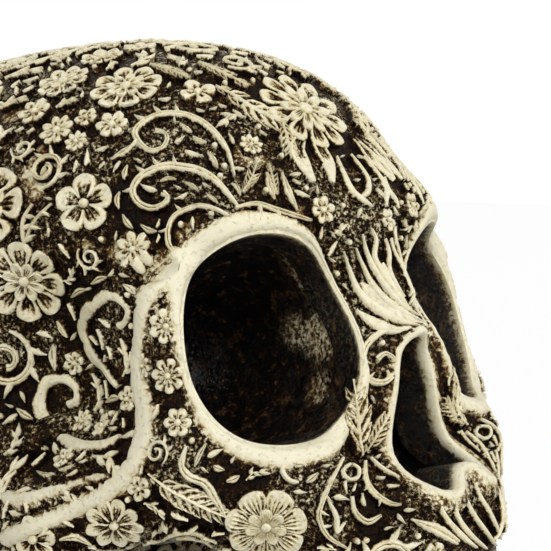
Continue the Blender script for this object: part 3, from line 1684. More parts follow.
SCROLLS = (
    Scroll(((235, 174, 1.5), (229, 151, 3), (220, 136, 4), (206, 122, 4.5), (188, 113, 4.5),
            (173, 111, 4.5), (159, 112, 4), (144, 119, 4), (134, 130, 4), (140, 142, 3.5),
            (151, 149, 3.5), (163, 145, 3), (167, 136, 3), (163, 130, 2.5), (156, 129, 3.5)),
           1, ((0.34, 11), (0.42, 12), (0.5, 12), (0.62, 11))),
    Scroll(((238, 204, 2), (226, 189, 4), (213, 176, 5), (198, 168, 5.5), (182, 165, 5.5),
            (166, 164, 5), (150, 169, 4.5), (138, 177, 4.5), (132, 189, 4), (137, 201, 4),
            (150, 207, 4), (162, 203, 3.5), (167, 196, 3), (162, 191, 4)),
           1, ((0.34, 10), (0.42, 11), (0.5, 11), (0.62, 9))),
    Scroll(((229, 215, 2), (217, 208, 3), (201, 204, 3.5), (187, 207, 3.5), (173, 215, 3.5),
            (167, 229, 3.5), (169, 243, 3.5), (178, 252, 3.5), (191, 255, 3), (203, 252, 3),
            (207, 243, 2.5), (201, 240, 2.5), (195, 242, 3.5)), 1, ((0.3, 9), (0.42, 8))),
    Scroll(((115, 387, 3), (102, 370, 5.5), (89, 353, 7), (82, 334, 7), (82, 320, 6.5),
            (92, 306, 6), (106, 297, 5), (117, 301, 4), (125, 311, 3.5), (122, 322, 3),
            (116, 326, 4)), lobes=-8, plain=True),
    Scroll(((117, 435, 3), (102, 441, 5), (83, 442, 6), (64, 436, 6), (51, 427, 6),
            (42, 413, 6), (40, 397, 5.5), (46, 384, 5), (61, 380, 4.5), (73, 388, 4),
            (74, 399, 3.5), (66, 404, 4)), lobes=-7, plain=True),
    Scroll(((236, 206, 2), (257, 202, 3.5), (276, 208, 4), (297, 215, 3.5), (313, 220, 2)),
           1, ((0.3, 11), (0.55, 11))),
    Scroll(((345, 252, 1.2), (350, 268, 2.5), (358, 288, 4), (372, 304, 5.5), (396, 318, 5),
            (421, 325, 1.5)), plain=True),
    Scroll(((357, 248, 1.2), (364, 266, 2.5), (373, 284, 4), (388, 300, 5), (408, 312, 4.5),
            (424, 321, 1.2)), plain=True),
    Scroll(((364, 234, 1.2), (368, 252, 3), (376, 270, 4), (388, 287, 4), (404, 303, 3.5),
            (420, 315, 1.2)), plain=True),
    Scroll(((373, 228, 1.2), (378, 240, 3), (376, 256, 3.5), (384, 272, 4), (395, 288, 3.5),
            (408, 304, 1.2)), plain=True),
    Scroll(((387, 238, 1.2), (391, 252, 3), (391, 268, 3.5), (398, 284, 3), (406, 296, 1)),
           plain=True),
    Scroll(((362, 282, 2), (376, 297, 11), (394, 309, 11), (412, 317, 7), (426, 322, 2)),
           bed=True),
    Scroll(((384, 262, 2), (392, 280, 8), (402, 296, 7), (414, 311, 2)), bed=True),
    Scroll(((412, 327, 2), (396, 330, 5), (376, 322, 7), (357, 309, 2)), plain=True),
    Scroll(((440, 498, 1.2), (444, 510, 3), (452, 523, 4), (464, 536, 4.5), (478, 548, 2)),
           plain=True),
    Scroll(((455, 496, 1.2), (457, 508, 3), (463, 522, 4), (474, 536, 4), (488, 549, 2)),
           plain=True),
    Scroll(((465, 490, 1.2), (470, 503, 3), (478, 517, 3.5), (488, 531, 3.5), (498, 546, 2)),
           plain=True),
    Scroll(((476, 480, 1.2), (482, 495, 3), (491, 510, 3.5), (499, 527, 3), (503, 542, 1)),
           plain=True),
    Scroll(((412, 519, 1), (427, 525, 5), (443, 532, 7), (460, 543, 4))),
    Scroll(((352, 463, 2), (345, 470, 2.5), (350, 478, 2.5), (359, 477, 2.5), (361, 468, 2.5),
            (354, 463, 2)), plain=True),
    Scroll(((338, 155, 1.2), (346, 173, 4), (355, 190, 5), (366, 199, 4), (374, 206, 1)),
           plain=True),
    Scroll(((352, 153, 1.2), (362, 165, 3), (370, 178, 3.5), (370, 190, 4), (362, 196, 2)),
           plain=True),
    Scroll(((360, 140, 1.2), (374, 152, 3.5), (388, 165, 4), (396, 178, 1)), plain=True),
    Scroll(((372, 132, 1.2), (386, 146, 3), (399, 162, 3.5), (407, 178, 1)), plain=True),
    Scroll(((386, 176, 1.2), (390, 188, 5), (398, 199, 3), (400, 208, 1)), plain=True),
    Scroll(((392, 328, 3), (378, 334, 4), (366, 347, 4.5), (363, 364, 4.5), (371, 379, 4.5),
            (386, 382, 4), (397, 373, 3.5), (397, 360, 3), (387, 353, 3), (379, 359, 4)),
           -1, ((0.3, 8), (0.45, 8), (0.6, 8))),
    Scroll(((186, 446, 2), (181, 464, 4), (188, 477, 5), (205, 484, 5), (215, 499, 5),
            (225, 518, 1.5))),
    Scroll(((372, 456, 1.5), (383, 466, 3), (400, 476, 1.5)), plain=True),
    Scroll(((382, 448, 1.5), (393, 457, 1.5)), plain=True),
    Scroll(((367, 460, 2), (368, 478, 4), (376, 492, 4.5), (390, 502, 3.5), (402, 504, 1.5)),
           1, ((0.4, 8), (0.65, 8))),
    Scroll(((345, 457, 2), (331, 485, 3), (322, 506, 3.5), (320, 520, 3.5), (329, 538, 3),
            (348, 549, 1.5)), -1, ((0.3, 8), (0.5, 9), (0.7, 8))),
    Scroll(((329, 500, 1.5), (338, 518, 4), (338, 533, 3), (346, 523, 1.5)), plain=True),
    Scroll(((354, 496, 2), (357, 512, 3.5), (369, 522, 4), (382, 515, 2))),
    Scroll(((285, 458, 2), (283, 470, 3), (290, 480, 3), (299, 482, 2)), plain=True),
    Scroll(((101, 40, 2), (68, 50, 4), (40, 58, 4), (16, 66, 3))),
    Scroll(((25, 252, 1.5), (21, 235, 2.5), (22, 218, 2.5), (31, 203, 1.5)),
           1, ((0.25, 13), (0.5, 12), (0.75, 11))),
    Scroll(((24, 240, 1.2), (33, 220, 2.2), (50, 203, 1.5)), 1, ((0.4, 10), (0.7, 9))),
)

FRONDS = (
    Frond(((216, 84, 6), (236, 94, 15), (256, 107, 17), (276, 117, 12), (288, 120, 3)), 4),
    Frond(((199, 60, 4), (222, 70, 10), (249, 84, 3)), 3),
    Frond(((283, 118, 4), (288, 136, 10), (293, 156, 3)), 3),
    Frond(((243, 190, 3), (252, 176, 8), (258, 160, 2)), 3),
    Frond(((278, 193, 3), (274, 178, 7), (270, 162, 2)), 3),
    Frond(((147, 474, 3), (166, 489, 14), (186, 500, 15), (210, 512, 12), (226, 518, 3)), 3),
    Frond(((362, 456, 5), (359, 436, 17), (357, 410, 14), (355, 380, 3)), 4, True),
    Frond(((366, 452, 4), (377, 434, 10), (388, 412, 3)), 3, True),
    Frond(((150, 62, 3), (168, 67, 8), (190, 76, 2)), 3),
)

PETALS = (
    ((309, 128, 3), (299, 144, 9), (304, 160, 10), (315, 180, 3)),
    ((314, 130, 3), (322, 146, 9), (330, 161, 9), (334, 181, 3)),
)

LEAFLETS = (
    ((268, 171, 1), (271, 185, 4.5), (276, 198, 1)), ((283, 171, 1), (290, 190, 5), (299, 210, 1)),
    ((232, 182, 1), (238, 186, 3), (241, 194, 1)), ((180, 122, 1), (187, 127, 3.5), (192, 131, 1)),
    ((193, 135, 1), (200, 139, 3.5), (207, 141, 1)), ((208, 150, 1), (214, 158, 3.5), (218, 166, 1)),
    ((160, 180, 1), (168, 177, 3), (176, 178, 1)), ((185, 181, 1), (192, 184, 3), (198, 189, 1)),
    ((207, 193, 1), (213, 197, 3), (218, 202, 1)), ((110, 158, 1), (123, 150, 4), (135, 142, 1)),
    ((127, 164, 1), (124, 171, 3.5), (123, 178, 1)), ((119, 191, 1), (116, 199, 3.5), (118, 208, 1)),
    ((122, 214, 1), (126, 222, 3.5), (132, 228, 1)), ((140, 224, 1), (148, 229, 3.5), (156, 230, 1)),
    ((52, 345, 1), (51, 358, 5), (54, 371, 1)), ((56, 322, 1), (60, 331, 4), (66, 338, 1)),
    ((90, 284, 1), (97, 279, 4), (105, 277, 1)), ((122, 284, 1), (129, 288, 4), (134, 294, 1)),
    ((70, 298, 1), (76, 292, 3.5), (84, 290, 1)), ((95, 330, 1), (99, 339, 4), (101, 350, 1)),
    ((16, 408, 1), (24, 414, 4), (32, 418, 1)), ((32, 440, 1), (39, 445, 4), (47, 447, 1)),
    ((36, 470, 1), (44, 473, 3), (52, 472, 1)), ((58, 469, 1), (65, 467, 3), (72, 464, 1)),
    ((104, 402, 1), (110, 398, 4), (117, 398, 1)), ((59, 541, 1), (75, 539, 5), (91, 547, 1)),
    ((293, 462, 1), (298, 464, 3.5), (304, 464, 1)), ((307, 482, 1), (313, 478, 4), (319, 472, 1)),
    ((214, 466, 1), (219, 469, 4), (225, 470, 1)), ((227, 482, 1), (234, 480, 4), (240, 476, 1)),
    ((207, 443, 1), (200, 455, 3), (195, 467, 1)), ((378, 187, 1), (382, 191, 4), (387, 196, 1)),
)


@dataclass
class Workpiece:
    """What every part of the work needs: the skull's frame, the photo's camera, the finish."""

    anatomy: Anatomy
    view: PhotoView
    finish: bpy.types.Material

    def hand_over(self, skin: Skin, node: str, wear: np.ndarray, gloom: np.ndarray) -> None:
        """Finishes a skin and puts it in the place of its CAD node.

        Args:
            skin: The skin.
            node: The CAD node's name.
            wear: How far the wash is gone at each vertex.
            gloom: How far each vertex lies inside a dark hollow.
        """
        set_attribute(skin.obj.data, "wear", wear)
        set_attribute(skin.obj.data, "gloom", gloom)
        only(skin.obj)
        bpy.ops.object.shade_smooth()
        skin.obj.data.materials.append(self.finish)
        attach(skin.obj, "root")
        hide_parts(node)


@dataclass
class Cranium(Workpiece):
    """The skull casting: its skin, its bands and its dark sockets.

    A fade gives both ends of a smooth step in millimetres. The stopper has its radius, its
    middle's height over the plug and its depth.
    """

    form: CrownForm = field(default_factory=CrownForm)
    voxel: float = 1.3
    smoothing: int = 3
    stopper: Triple = (14.3, 7.0, 10.0)
    snap: float = 5.4
    snap_fade: float = 0.6
    least_slope: float = 0.1
    behind_sockets: float = -40.0
    socket_fade: Pair = (0.2, 1.4)
    foot_fade: Pair = (3.0, 6.0)
    tooth_level: float = -38.0
    behind_teeth: float = -10.0
    gum_level: float = -43.0
    gum_fade: float = 5.0
    ground_depth: float = 1.9
    sunk_fade: Pair = (2.4, 3.8)
    band_edge: float = 0.9
    band_fade: float = -0.4
    hollow_fade: Pair = (-0.2, 0.8)
    nose_fade: Pair = (0.3, 1.0)
    gloom_fade: Pair = (0.8, 8.0)
    ground_wear: float = 0.1
    band_wear: float = 0.85
    lit_wear: float = 0.42
    wiped: float = 1.9
    patch_fade_shares: Pair = (0.4, 1.2)
    bare: Pair = (0.15, 0.1)

    def make(self, node: bpy.types.Object) -> Skin:
        """Builds the skin over the CAD node and sinks its ground.

        Args:
            node: The CAD casting.

        Returns:
            The skin.
        """
        low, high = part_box("base_plug")
        radius, rise, depth = self.stopper
        centre = Vector(((low.x + high.x) / 2, (low.y + high.y) / 2, low.z + rise * MM))
        skin = Skin("cranium_skin", node, self.voxel, self.smoothing,
                    (centre, radius * MM, depth * MM), self.drawn)
        LOG.info("cranium skin: %d vertices", len(skin.places))
        self.dress(skin)
        return skin

    def drawn(self, places: np.ndarray, most: float) -> tuple[np.ndarray, np.ndarray]:
        """Draws the places outside the openings and above the flats towards the crown form.

        Args:
            places: The skin's places, in metres.
            most: How far a place may move, in millimetres.

        Returns:
            The new places, and for each a weight from 0, fixed, to 1, free.
        """
        level = self.anatomy.from_row(places)
        away = self.form.distance(level)
        share = 1 - eased(np.abs(away), self.snap, self.snap + self.snap_fade)
        for side in Side:
            reach, _ = self.anatomy.socket_reach(level, side)
            outside = eased(reach, *self.socket_fade)
            share *= np.where(level[:, 1] < self.behind_sockets, outside, 1)
        share *= 1 - self.anatomy.nose_reach(level)
        share *= eased(places[:, 2] / MM, *self.foot_fade)
        share *= 1 - (level[:, 2] < self.tooth_level) * (level[:, 1] < self.behind_teeth)
        if most:
            ends = np.nonzero(share > 0)[0]
            slope = self.form.slope(level[ends], away[ends])
            steep = np.maximum((slope ** 2).sum(axis=1), self.least_slope)
            move = slope * (away[ends] / steep)[:, None]
            length = np.maximum(np.linalg.norm(move, axis=1), 1e-9)
            level[ends] -= move * (np.minimum(1, most / length) * share[ends])[:, None]
        return self.anatomy.rows(level), share

    def dress(self, skin: Skin) -> None:
        """Sinks the ground between the bands, and sets the wear and the gloom.

        Args:
            skin: The skin.
        """
        level = self.anatomy.from_row(skin.places)
        signed = self.form.distance(level)
        rims, hollows = self.openings(level)
        hollows = np.maximum(hollows, self.anatomy.nose_reach(level))
        hollows = hollows * eased(-signed, *self.nose_fade)
        bands = rims
        for band in BANDS:
            bands = np.maximum(bands, self.along(band, skin))
        plain = 1 - eased(level[:, 2], self.gum_level, self.gum_level + self.gum_fade)
        weights = np.maximum(np.maximum(bands, plain), eased(np.abs(signed), *self.sunk_fade))
        weights = np.maximum(weights, hollows)
        most, most_hollow = self.bare
        skin.ground = (weights < most) & (hollows < most_hollow)
        skin.sink(weights, self.ground_depth)
        lit = hollows * (1 - eased(-signed, 0.0, self.gloom_fade[1]))
        gloom = hollows * eased(-signed, *self.gloom_fade)
        wear = self.ground_wear + self.band_wear * bands * (1 - hollows) + self.lit_wear * lit
        for patch in WORN:
            rubbed = self.worn(patch, skin)
            wear = np.maximum(wear, rubbed)
            gloom *= 1 - np.minimum(rubbed * self.wiped, 1)
        self.hand_over(skin, "cranium_casting", wear, gloom)

    def openings(self, level: np.ndarray) -> tuple[np.ndarray, np.ndarray]:
        """Weights of the sockets' rims, and of the sockets' walls, at points of the skull.

        Args:
            level: Points of the level skull, in millimetres.

        Returns:
            The rims' weights and the walls'.
        """
        rims, hollows = np.zeros(len(level)), np.zeros(len(level))
        ahead = level[:, 1] < self.behind_sockets
        for side in Side:
            reach, angle = self.anatomy.socket_reach(level, side)
            width = read_off(np.degrees(angle), RIM_WIDTHS)
            rims = np.maximum(rims, (1 - eased(reach - width, 0, self.band_edge)) * ahead)
            hollows = np.maximum(hollows, (1 - eased(reach, *self.hollow_fade)) * ahead)
        return rims, hollows

    def struck(self, skin: Skin, pixel: Pixel) -> tuple[np.ndarray, float] | None:
        """Where a pixel of the photo meets the skin, and how many millimetres it spans there.

        Args:
            skin: The skin.
            pixel: The pixel.

        Returns:
            Both, or None where it misses the skin.
        """
        hit = skin.hit(self.view.position(), self.view.ray(pixel))
        if hit is None:
            return None
        return np.array(hit[0]), self.view.pixel_size(hit[0])

    def along(self, band: Band, skin: Skin) -> np.ndarray:
        """Weights of a band that follows pixels of the photo, on both sides of the skull.

        Args:
            band: The band.
            skin: The skin.

        Returns:
            A weight for each vertex.
        """
        weights = np.zeros(len(skin.places))
        struck = [(self.struck(skin, (x, y)), half) for x, y, half in band.points]
        spots = [(hit[0], half * hit[1]) for hit, half in struck if hit]
        for (a, half_a), (b, half_b) in zip(spots, spots[1:]):
            run = b - a
            share = np.clip((skin.folded - a) @ run / (run @ run), 0, 1)
            gap = np.linalg.norm(skin.folded - a - share[:, None] * run, axis=1) / MM
            half = half_a + (half_b - half_a) * share
            weights = np.maximum(weights, 1 - eased(gap - half, self.band_fade, self.band_edge))
        return weights

    def worn(self, patch: WornPatch, skin: Skin) -> np.ndarray:
        """Wear of a patch at every vertex.

        Args:
            patch: The patch.
            skin: The skin.

        Returns:
            The wear of each vertex.
        """
        struck = self.struck(skin, patch.centre)
        if not struck:
            return np.zeros(len(skin.places))
        gap = np.linalg.norm(skin.folded - struck[0], axis=1) / MM
        radius = patch.radius_px * struck[1]
        near, far = self.patch_fade_shares
        return (1 - eased(gap, radius * near, radius * far)) * patch.strength


@dataclass
class Carver(Workpiece):
    """One who carves, and knows the room that carvings have taken."""

    taken: Taken

    def relief(self, name: str, skin: Skin) -> Relief:
        """Starts an empty relief on a skin."""
        return Relief(name, skin, self.view, self.taken)


@dataclass
class FaceCarvings(Carver):
    """The carvings that the photo shows, laid where it shows them, and mirrored."""

    lobed_parts: int = 8

    def make(self, skin: Skin) -> None:
        """Lays every flower, scroll and leaf of the photo on the skin.

        Args:
            skin: The skin.
        """
        relief = self.relief("face_carvings", skin)
        for bloom in BLOOMS:
            chart = relief.chart(bloom.centre, bloom.turn_deg)
            if chart:
                relief.flower(chart, relief.size_at(chart.place, bloom.radius_px), bloom.petals,
                              bloom.spread, bloom.inner, bloom.heart,
                              fan_top if bloom.broad else petal_top, bloom.blunt)
        for scroll in SCROLLS:
            top = flush if scroll.bed else rounded if scroll.plain else grooved
            parts = self.lobed_parts if scroll.lobes else relief.parts
            spots = relief.curve(scroll.points, top, parts, scroll.lobes)
            if scroll.tufts:
                relief.tufts(spots, scroll.outer,
                             [(share, relief.size_at(spots[0][0], length))
                              for share, length in scroll.tufts])
        for frond in FRONDS:
            spots, halves = relief.trace(frond.points)
            relief.mirror = relief.aside(spots)
            relief.over = frond.over
            relief.frond(spots, halves, frond.lobes)
        relief.over = False
        for petal in PETALS:
            relief.curve(petal, petal_top)
        for leaflet in LEAFLETS:
            relief.curve(leaflet, leaf_top)
        relief.make(self.finish)


@dataclass
class OpeningRims(Carver):
    """The rounded rims of the sockets and the nose opening, which turn in over their walls.

    Inside values are depths in a wall. A lip or across row gives a reach outwards, a height
    and the wear. Lifts are heights over the crown level.
    """

    form: CrownForm = field(default_factory=CrownForm)
    steps: int = 120
    tilts_deg: tuple[int, int] = (5, 135)
    tilt_step: float = 0.05
    inside: tuple[float, ...] = (9.0, 6.0, 3.6, 1.8, 0.6)
    off_wall: Pair = (0.25, 0.05)
    bright: Pair = (3.4, 2.3)
    bright_fade_deg: Pair = (95, 140)
    lit_from: float = 0.3
    wall_wear: Pair = (0.16, 0.72)
    wall_gloom: float = 0.9
    across: tuple[float, ...] = (0.0, 0.12, 0.35, 0.62, 0.85, 1.0)
    lift: float = 0.12
    edge_drop: float = 0.22
    edge_share: float = 0.2
    outer_drop: float = 0.75
    lip_wear: float = 0.97
    lip_fade: float = 0.55
    spare: float = 0.6
    least_width: float = 0.7
    edge_gap: float = 0.3
    skirt: Pair = (0.9, -2.8)
    wall: float = 1.6
    beside: float = 2.0
    even_steps: int = 4
    nose_inside: tuple[float, ...] = (11.0, 7.0, 4.0, 2.2, 1.0, 0.2)
    nose_lip: tuple = ((0.35, 0.75, 0.9), (0.8, 1.05, 0.97), (1.5, 0.95, 0.95), (2.1, 0.45, 0.6))
    nose_across: tuple = ((1.2, -0.1, 0.35), (2.6, -2.8, 0.0))
    nose_inwards: tuple = ((0.0, 3.3), (4.0, 3.0), (9.0, 1.9), (20.0, 1.7), (32.0, 1.2),
                           (36.0, 0.4))
    nose_bright: float = 2.6
    nose_wear: Pair = (0.12, 0.7)
    nose_gloom: float = 0.95
    nose_width: float = 2.2
    nose_jump: float = 4.0
    nose_look: float = 0.7
    first_reach: float = 36.0
    before_face: float = 30.0
    farthest: float = 70.0

    def make(self, skin: Skin) -> None:
        """Builds the rims on the skin.

        Args:
            skin: The skin.
        """
        relief = self.relief("opening_rims", skin)
        relief.close(self.socket_rows(skin), loop=True)
        relief.mirror = False
        relief.close(self.nose_rows(skin), loop=True)
        relief.make(self.finish)

    def socket_edge(self, side: Side) -> list[float]:
        """Tilts at which a socket's wall comes out of the crown form, round the socket.

        Args:
            side: Which socket.

        Returns:
            A tilt for each step round it.
        """
        tilts = np.radians(np.arange(*self.tilts_deg, 1.0))
        edge = []
        for step in range(self.steps):
            angle = TURN * step / self.steps
            places = np.array([self.anatomy.socket_place(side, angle, tilt, 0)
                               for tilt in tilts])
            away = self.form.distance(self.anatomy.from_row(places))
            inside = np.nonzero(away < 0)[0]
            i = max(int(inside[0]), 1) if len(inside) else len(tilts) - 1
            share = away[i - 1] / max(away[i - 1] - away[i], 1e-6)
            edge.append(float(tilts[i - 1] + (tilts[i] - tilts[i - 1]) * min(share, 1)))
        return evened(edge)

    def socket_rows(self, skin: Skin) -> list:
        """Sections round the right socket, from inside its wall, over the edge, to the band.

        Args:
            skin: The skin.

        Returns:
            For each section its points, with their wear and gloom.
        """
        side = Side.RIGHT
        edge = self.socket_edge(side)
        angles = [TURN * step / self.steps for step in range(self.steps)]
        spots = [self.anatomy.socket_place(side, a, t, 0) for a, t in zip(angles, edge)]
        middle = sum(spots, Vector()) / len(spots)
        normals = self.normals_beside(skin, spots, middle)
        rows = []
        for i, (angle, tilt, spot, normal) in enumerate(zip(angles, edge, spots, normals)):
            degrees = (math.degrees(angle) + 180) % 360 - 180
            width = max(float(read_off(degrees, RIM_WIDTHS)), self.least_width)
            along = (spots[(i + 1) % self.steps] - spots[i - 1]).normalized()
            out = along.cross(normal).normalized()
            if out.dot(spot - middle) < 0:
                out = -out
            deeper = self.anatomy.socket_place(side, angle, tilt + self.tilt_step, 0) - spot
            per_mm = self.tilt_step / (deeper.length / MM)
            most, less = self.bright
            bright = most - less * ease(abs(degrees), *self.bright_fade_deg)
            start, slope = self.off_wall
            dark, more = self.wall_wear
            row = []
            for depth in self.inside:
                point = self.anatomy.socket_place(side, angle, tilt + depth * per_mm,
                                                  -start - slope * depth)
                lit = 1 - ease(depth, self.lit_from, bright)
                row.append((point, dark + more * lit, self.wall_gloom * (1 - lit)))
            for share in self.across:
                drop = (self.edge_drop * (1 - ease(share, 0, self.edge_share))
                        + self.outer_drop * share ** 4)
                guess = spot + out * (self.edge_gap + share * width) * MM
                row.append((skin.lay(guess, normal, self.lift - drop),
                            self.lip_wear - self.lip_fade * share ** 6, 0.0))
            beyond, foot = self.skirt
            row.append((skin.lay(spot + out * (width + beyond) * MM, normal, foot), 0.0, 0.0))
            row.append((self.anatomy.socket_place(
                side, angle, tilt + self.inside[0] * per_mm, self.wall), 0.0, 1.0))
            rows.append(row)
            self.taken.take(spot + out * width * 0.5 * MM, width * 0.5 + self.spare)
        return rows[::-1]

    def normals_beside(self, skin: Skin, spots: Sequence[Vector], middle: Vector) -> list:
        """Normals of the face round an opening, evened out along its edge.

        Args:
            skin: The skin.
            spots: Places round the edge.
            middle: Their middle.

        Returns:
            A normal for each spot.
        """
        normals = []
        for spot in spots:
            beside = spot + (spot - middle).normalized() * self.beside * MM
            normals.append(skin.normal_of(skin.tree.find_nearest(beside)[2]))
        count = len(normals)
        near = range(-self.even_steps, self.even_steps + 1)
        return [sum((normals[(i + step) % count] for step in near), Vector()).normalized()
                for i in range(count)]

    def nose_rows(self, skin: Skin) -> list:
        """Sections round the nose opening, from inside its wall, over the edge, to the face.

        Args:
            skin: The skin.

        Returns:
            For each section its points, with their wear and gloom.
        """
        line = self.anatomy.nose_outline(0)
        line = [Vector(p) for p in smooth_line([*line, line[0]], 4)[:-1]]
        back = (self.anatomy.to_row((0, 1, 0)) - self.anatomy.to_row((0, 0, 0))).normalized()
        _, reach = self.struck(skin, line[0], back, self.first_reach * MM)
        outs, reaches = [], []
        for i, spot in enumerate(line):
            run = (line[(i + 1) % len(line)] - line[i - 1]).normalized()
            outs.append(Vector((run.y, -run.x)) * (-1 if self.turns_in(line) else 1))
            crest, reach = self.struck(skin, spot + outs[-1] * self.nose_look, back, reach)
            reaches.append(reach)
            self.taken.take(crest, self.nose_width)
        rows = []
        for spot, out, reach in zip(line, evened(outs), evened(reaches)):
            inwards = float(read_off(spot.y, self.nose_inwards))
            dark, more = self.nose_wear
            row = []
            for depth in self.nose_inside:
                start = self.flat(spot - out * inwards)
                lit = 1 - ease(depth, self.lit_from, self.nose_bright)
                row.append((start + back * (reach + depth * MM), dark + more * lit,
                            self.nose_gloom * (1 - lit)))
            for grow, lift, wear in self.nose_lip:
                start = self.flat(spot + out * (grow - inwards))
                row.append((start + back * (reach - lift * MM), wear, 0.0))
            for grow, lift, wear in self.nose_across:
                hit, _ = self.struck(skin, spot + out * grow, back, reach)
                _, _, face, _ = skin.tree.find_nearest(hit)
                row.append((hit + skin.normal_of(face) * lift * MM, wear, 0.0))
            start = self.flat(spot + out * self.wall)
            row.append((start + back * (reach + self.nose_inside[0] * MM), 0.0, 1.0))
            rows.append(row)
        return rows

    @staticmethod
    def turns_in(line: Sequence[Vector]) -> bool:
        """Whether an outline runs so that its right side is inside."""
        area = sum(a.x * b.y - b.x * a.y for a, b in zip(line, [*line[1:], line[0]]))
        return area < 0

    def flat(self, spot: Vector) -> Vector:
        """A point of the nose outline, moved straight out in front of the face."""
        return self.anatomy.to_row((spot.x, self.anatomy.nose_front - self.before_face,
                                    self.anatomy.nose_bottom + spot.y))

    def struck(self, skin: Skin, spot: Vector, back: Vector,
               reach: float) -> tuple[Vector, float]:
        """Where a ray along the face's depth meets the crown at a point of the outline.

        Args:
            skin: The skin.
            spot: The point, across and up.
            back: The direction of the ray.
            reach: How far the ray ran beside this one, in metres, to keep off deep walls.

        Returns:
            The place, and how far the ray ran.
        """
        start = self.flat(spot)
        place, _, _, run = skin.tree.ray_cast(start, back, self.farthest * MM)
        if place is None or abs(run - reach) > self.nose_jump * MM:
            return start + back * reach, reach
        return place, run


@dataclass(frozen=True)
class Rosette:
    """A large flower outside the photo: its place in shares of the head, radius and petals."""

    place: Triple
    radius: float
    petals: int


ROSETTES = (
    Rosette((0, -0.2, 1), 15, 10), Rosette((0, 1, 0.4), 15, 10),
    Rosette((-0.97, 0.15, 0.52), 15, 8), Rosette((-0.72, 0.8, 0.45), 13, 8),
)


@dataclass
class HeadCarvings(Carver):
    """The carvings of the sides, the back and the top, which the photo doesn't show.

    The regions are bounded by how far forward, up and back a place lies in the level skull.
    """

    seed: int = 7
    gap: float = 0.35
    front: float = -42.0
    top: float = 78.0
    back: float = 52.0
    ear_line: float = 2.0
    from_middle: float = 1.5
    from_floor: float = 12.0
    room_share: float = 0.8
    large_petals: Triple = (0.88, 0.56, 0.15)
    small_petals: Triple = (0.9, 0.55, 0.2)
    petal_counts: tuple[int, ...] = (5, 6, 8)
    ringed_from: float = 5.0
    comma_share: float = 0.42
    comma_bend: float = 0.3
    bead_share: float = 0.92
    rosette_right: Triple = (1.0, 0.2, 0.0)
    filling_right: Triple = (0.3, 1.0, 0.2)
    tries: tuple = (("rosette", 9.5, 500), ("curl", 7.8, 900), ("sprig", 7.6, 900),
                    ("rosette", 6.2, 700), ("curl", 5.6, 1500), ("sprig", 5.4, 1500),
                    ("rosette", 4.2, 1500), ("sprig", 3.8, 2500), ("curl", 3.4, 2500),
                    ("rosette", 2.6, 2500), ("sprig", 2.6, 4000), ("comma", 1.9, 5000),
                    ("comma", 1.35, 4500), ("bead", 0.7, 900), ("comma", 0.95, 3000))

    def make(self, skin: Skin) -> None:
        """Lays the rosettes and fills the ground between with smaller and smaller carvings.

        Args:
            skin: The skin.
        """
        reliefs = {name: self.relief(name, skin)
                   for name in ("temple_carvings", "side_carvings", "back_carvings",
                                "top_carvings", "front_fillings")}
        for rosette in ROSETTES:
            guess = self.anatomy.to_row(CrownForm().at(rosette.place))
            place, _, face, _ = skin.tree.find_nearest(guess)
            chart = Chart.on(place, skin.normal_of(face), Vector(self.rosette_right))
            reliefs[self.region(place)].flower(chart, rosette.radius, rosette.petals,
                                               *self.large_petals)
        ground = [i for i in np.nonzero(skin.ground)[0]
                  if skin.places[i, 0] < -self.from_middle * MM
                  and skin.places[i, 2] > self.from_floor * MM]
        self.fill(ground, skin, self.tries, random.Random(self.seed),
                  lambda place: reliefs[self.region(place)])
        for relief in reliefs.values():
            relief.make(self.finish)

    def fill(self, ground: Sequence[int], skin: Skin, tries: Sequence[tuple],
             draw: random.Random, choose: Callable[[Vector], Relief]) -> None:
        """Fills bare ground with smaller and smaller carvings.

        Args:
            ground: The skin's vertices that a carving may be centred on.
            skin: The skin.
            tries: Kinds of carving with their size in millimetres and how often each is tried.
            draw: Draws the places and turns.
            choose: Gives the relief that a place belongs to.
        """
        for kind, size, rounds in tries:
            laid = 0
            for _ in range(rounds):
                i = draw.choice(ground)
                place = skin.places[i]
                spin = draw.uniform(0, 360)
                if (self.taken.free(place, size + self.gap)
                        and -place[0] / MM > size * self.room_share):
                    chart = Chart.on(Vector(place), skin.normal_list[i],
                                     Vector(self.filling_right)).moved(0, 0, spin)
                    relief = choose(chart.place)
                    relief.mirror = True
                    self.lay(relief, kind, chart, size, draw)
                    laid += 1
            LOG.info("%s of %.1f mm: %d laid", kind, size, laid)

    def region(self, place: Sequence[float]) -> str:
        """The relief that a place belongs to.

        Args:
            place: The place, in metres.

        Returns:
            The relief's name.
        """
        _, y, z = self.anatomy.from_row(np.array([place]))[0]
        if y < self.front:
            return "front_fillings"
        if z > self.top:
            return "top_carvings"
        if y > self.back:
            return "back_carvings"
        return "side_carvings" if y > self.ear_line else "temple_carvings"

    def lay(self, relief: Relief, kind: str, chart: Chart, size: float,
            draw: random.Random) -> None:
        """Lays one carving.

        Args:
            relief: The relief that it belongs to.
            kind: Its kind, as in tries.
            chart: Its middle.
            size: Radius in millimetres of the disc that it fills.
            draw: Draws its petals, its hand or its bend.
        """
        if kind == "rosette":
            spread, inner, heart = self.small_petals
            relief.flower(chart, size, draw.choice(self.petal_counts), spread,
                          inner if size > self.ringed_from else 0, heart)
        elif kind == "curl":
            relief.curl(chart, size, draw.choice((1, -1)))
        elif kind == "sprig":
            relief.sprig(chart, size, draw.choice((1, -1)))
        elif kind == "comma":
            bend = draw.uniform(-self.comma_bend, self.comma_bend)
            relief.leaf(chart, -size, size * 2, size * self.comma_share, bend)
        else:
            relief.bead(chart, size * self.bead_share)


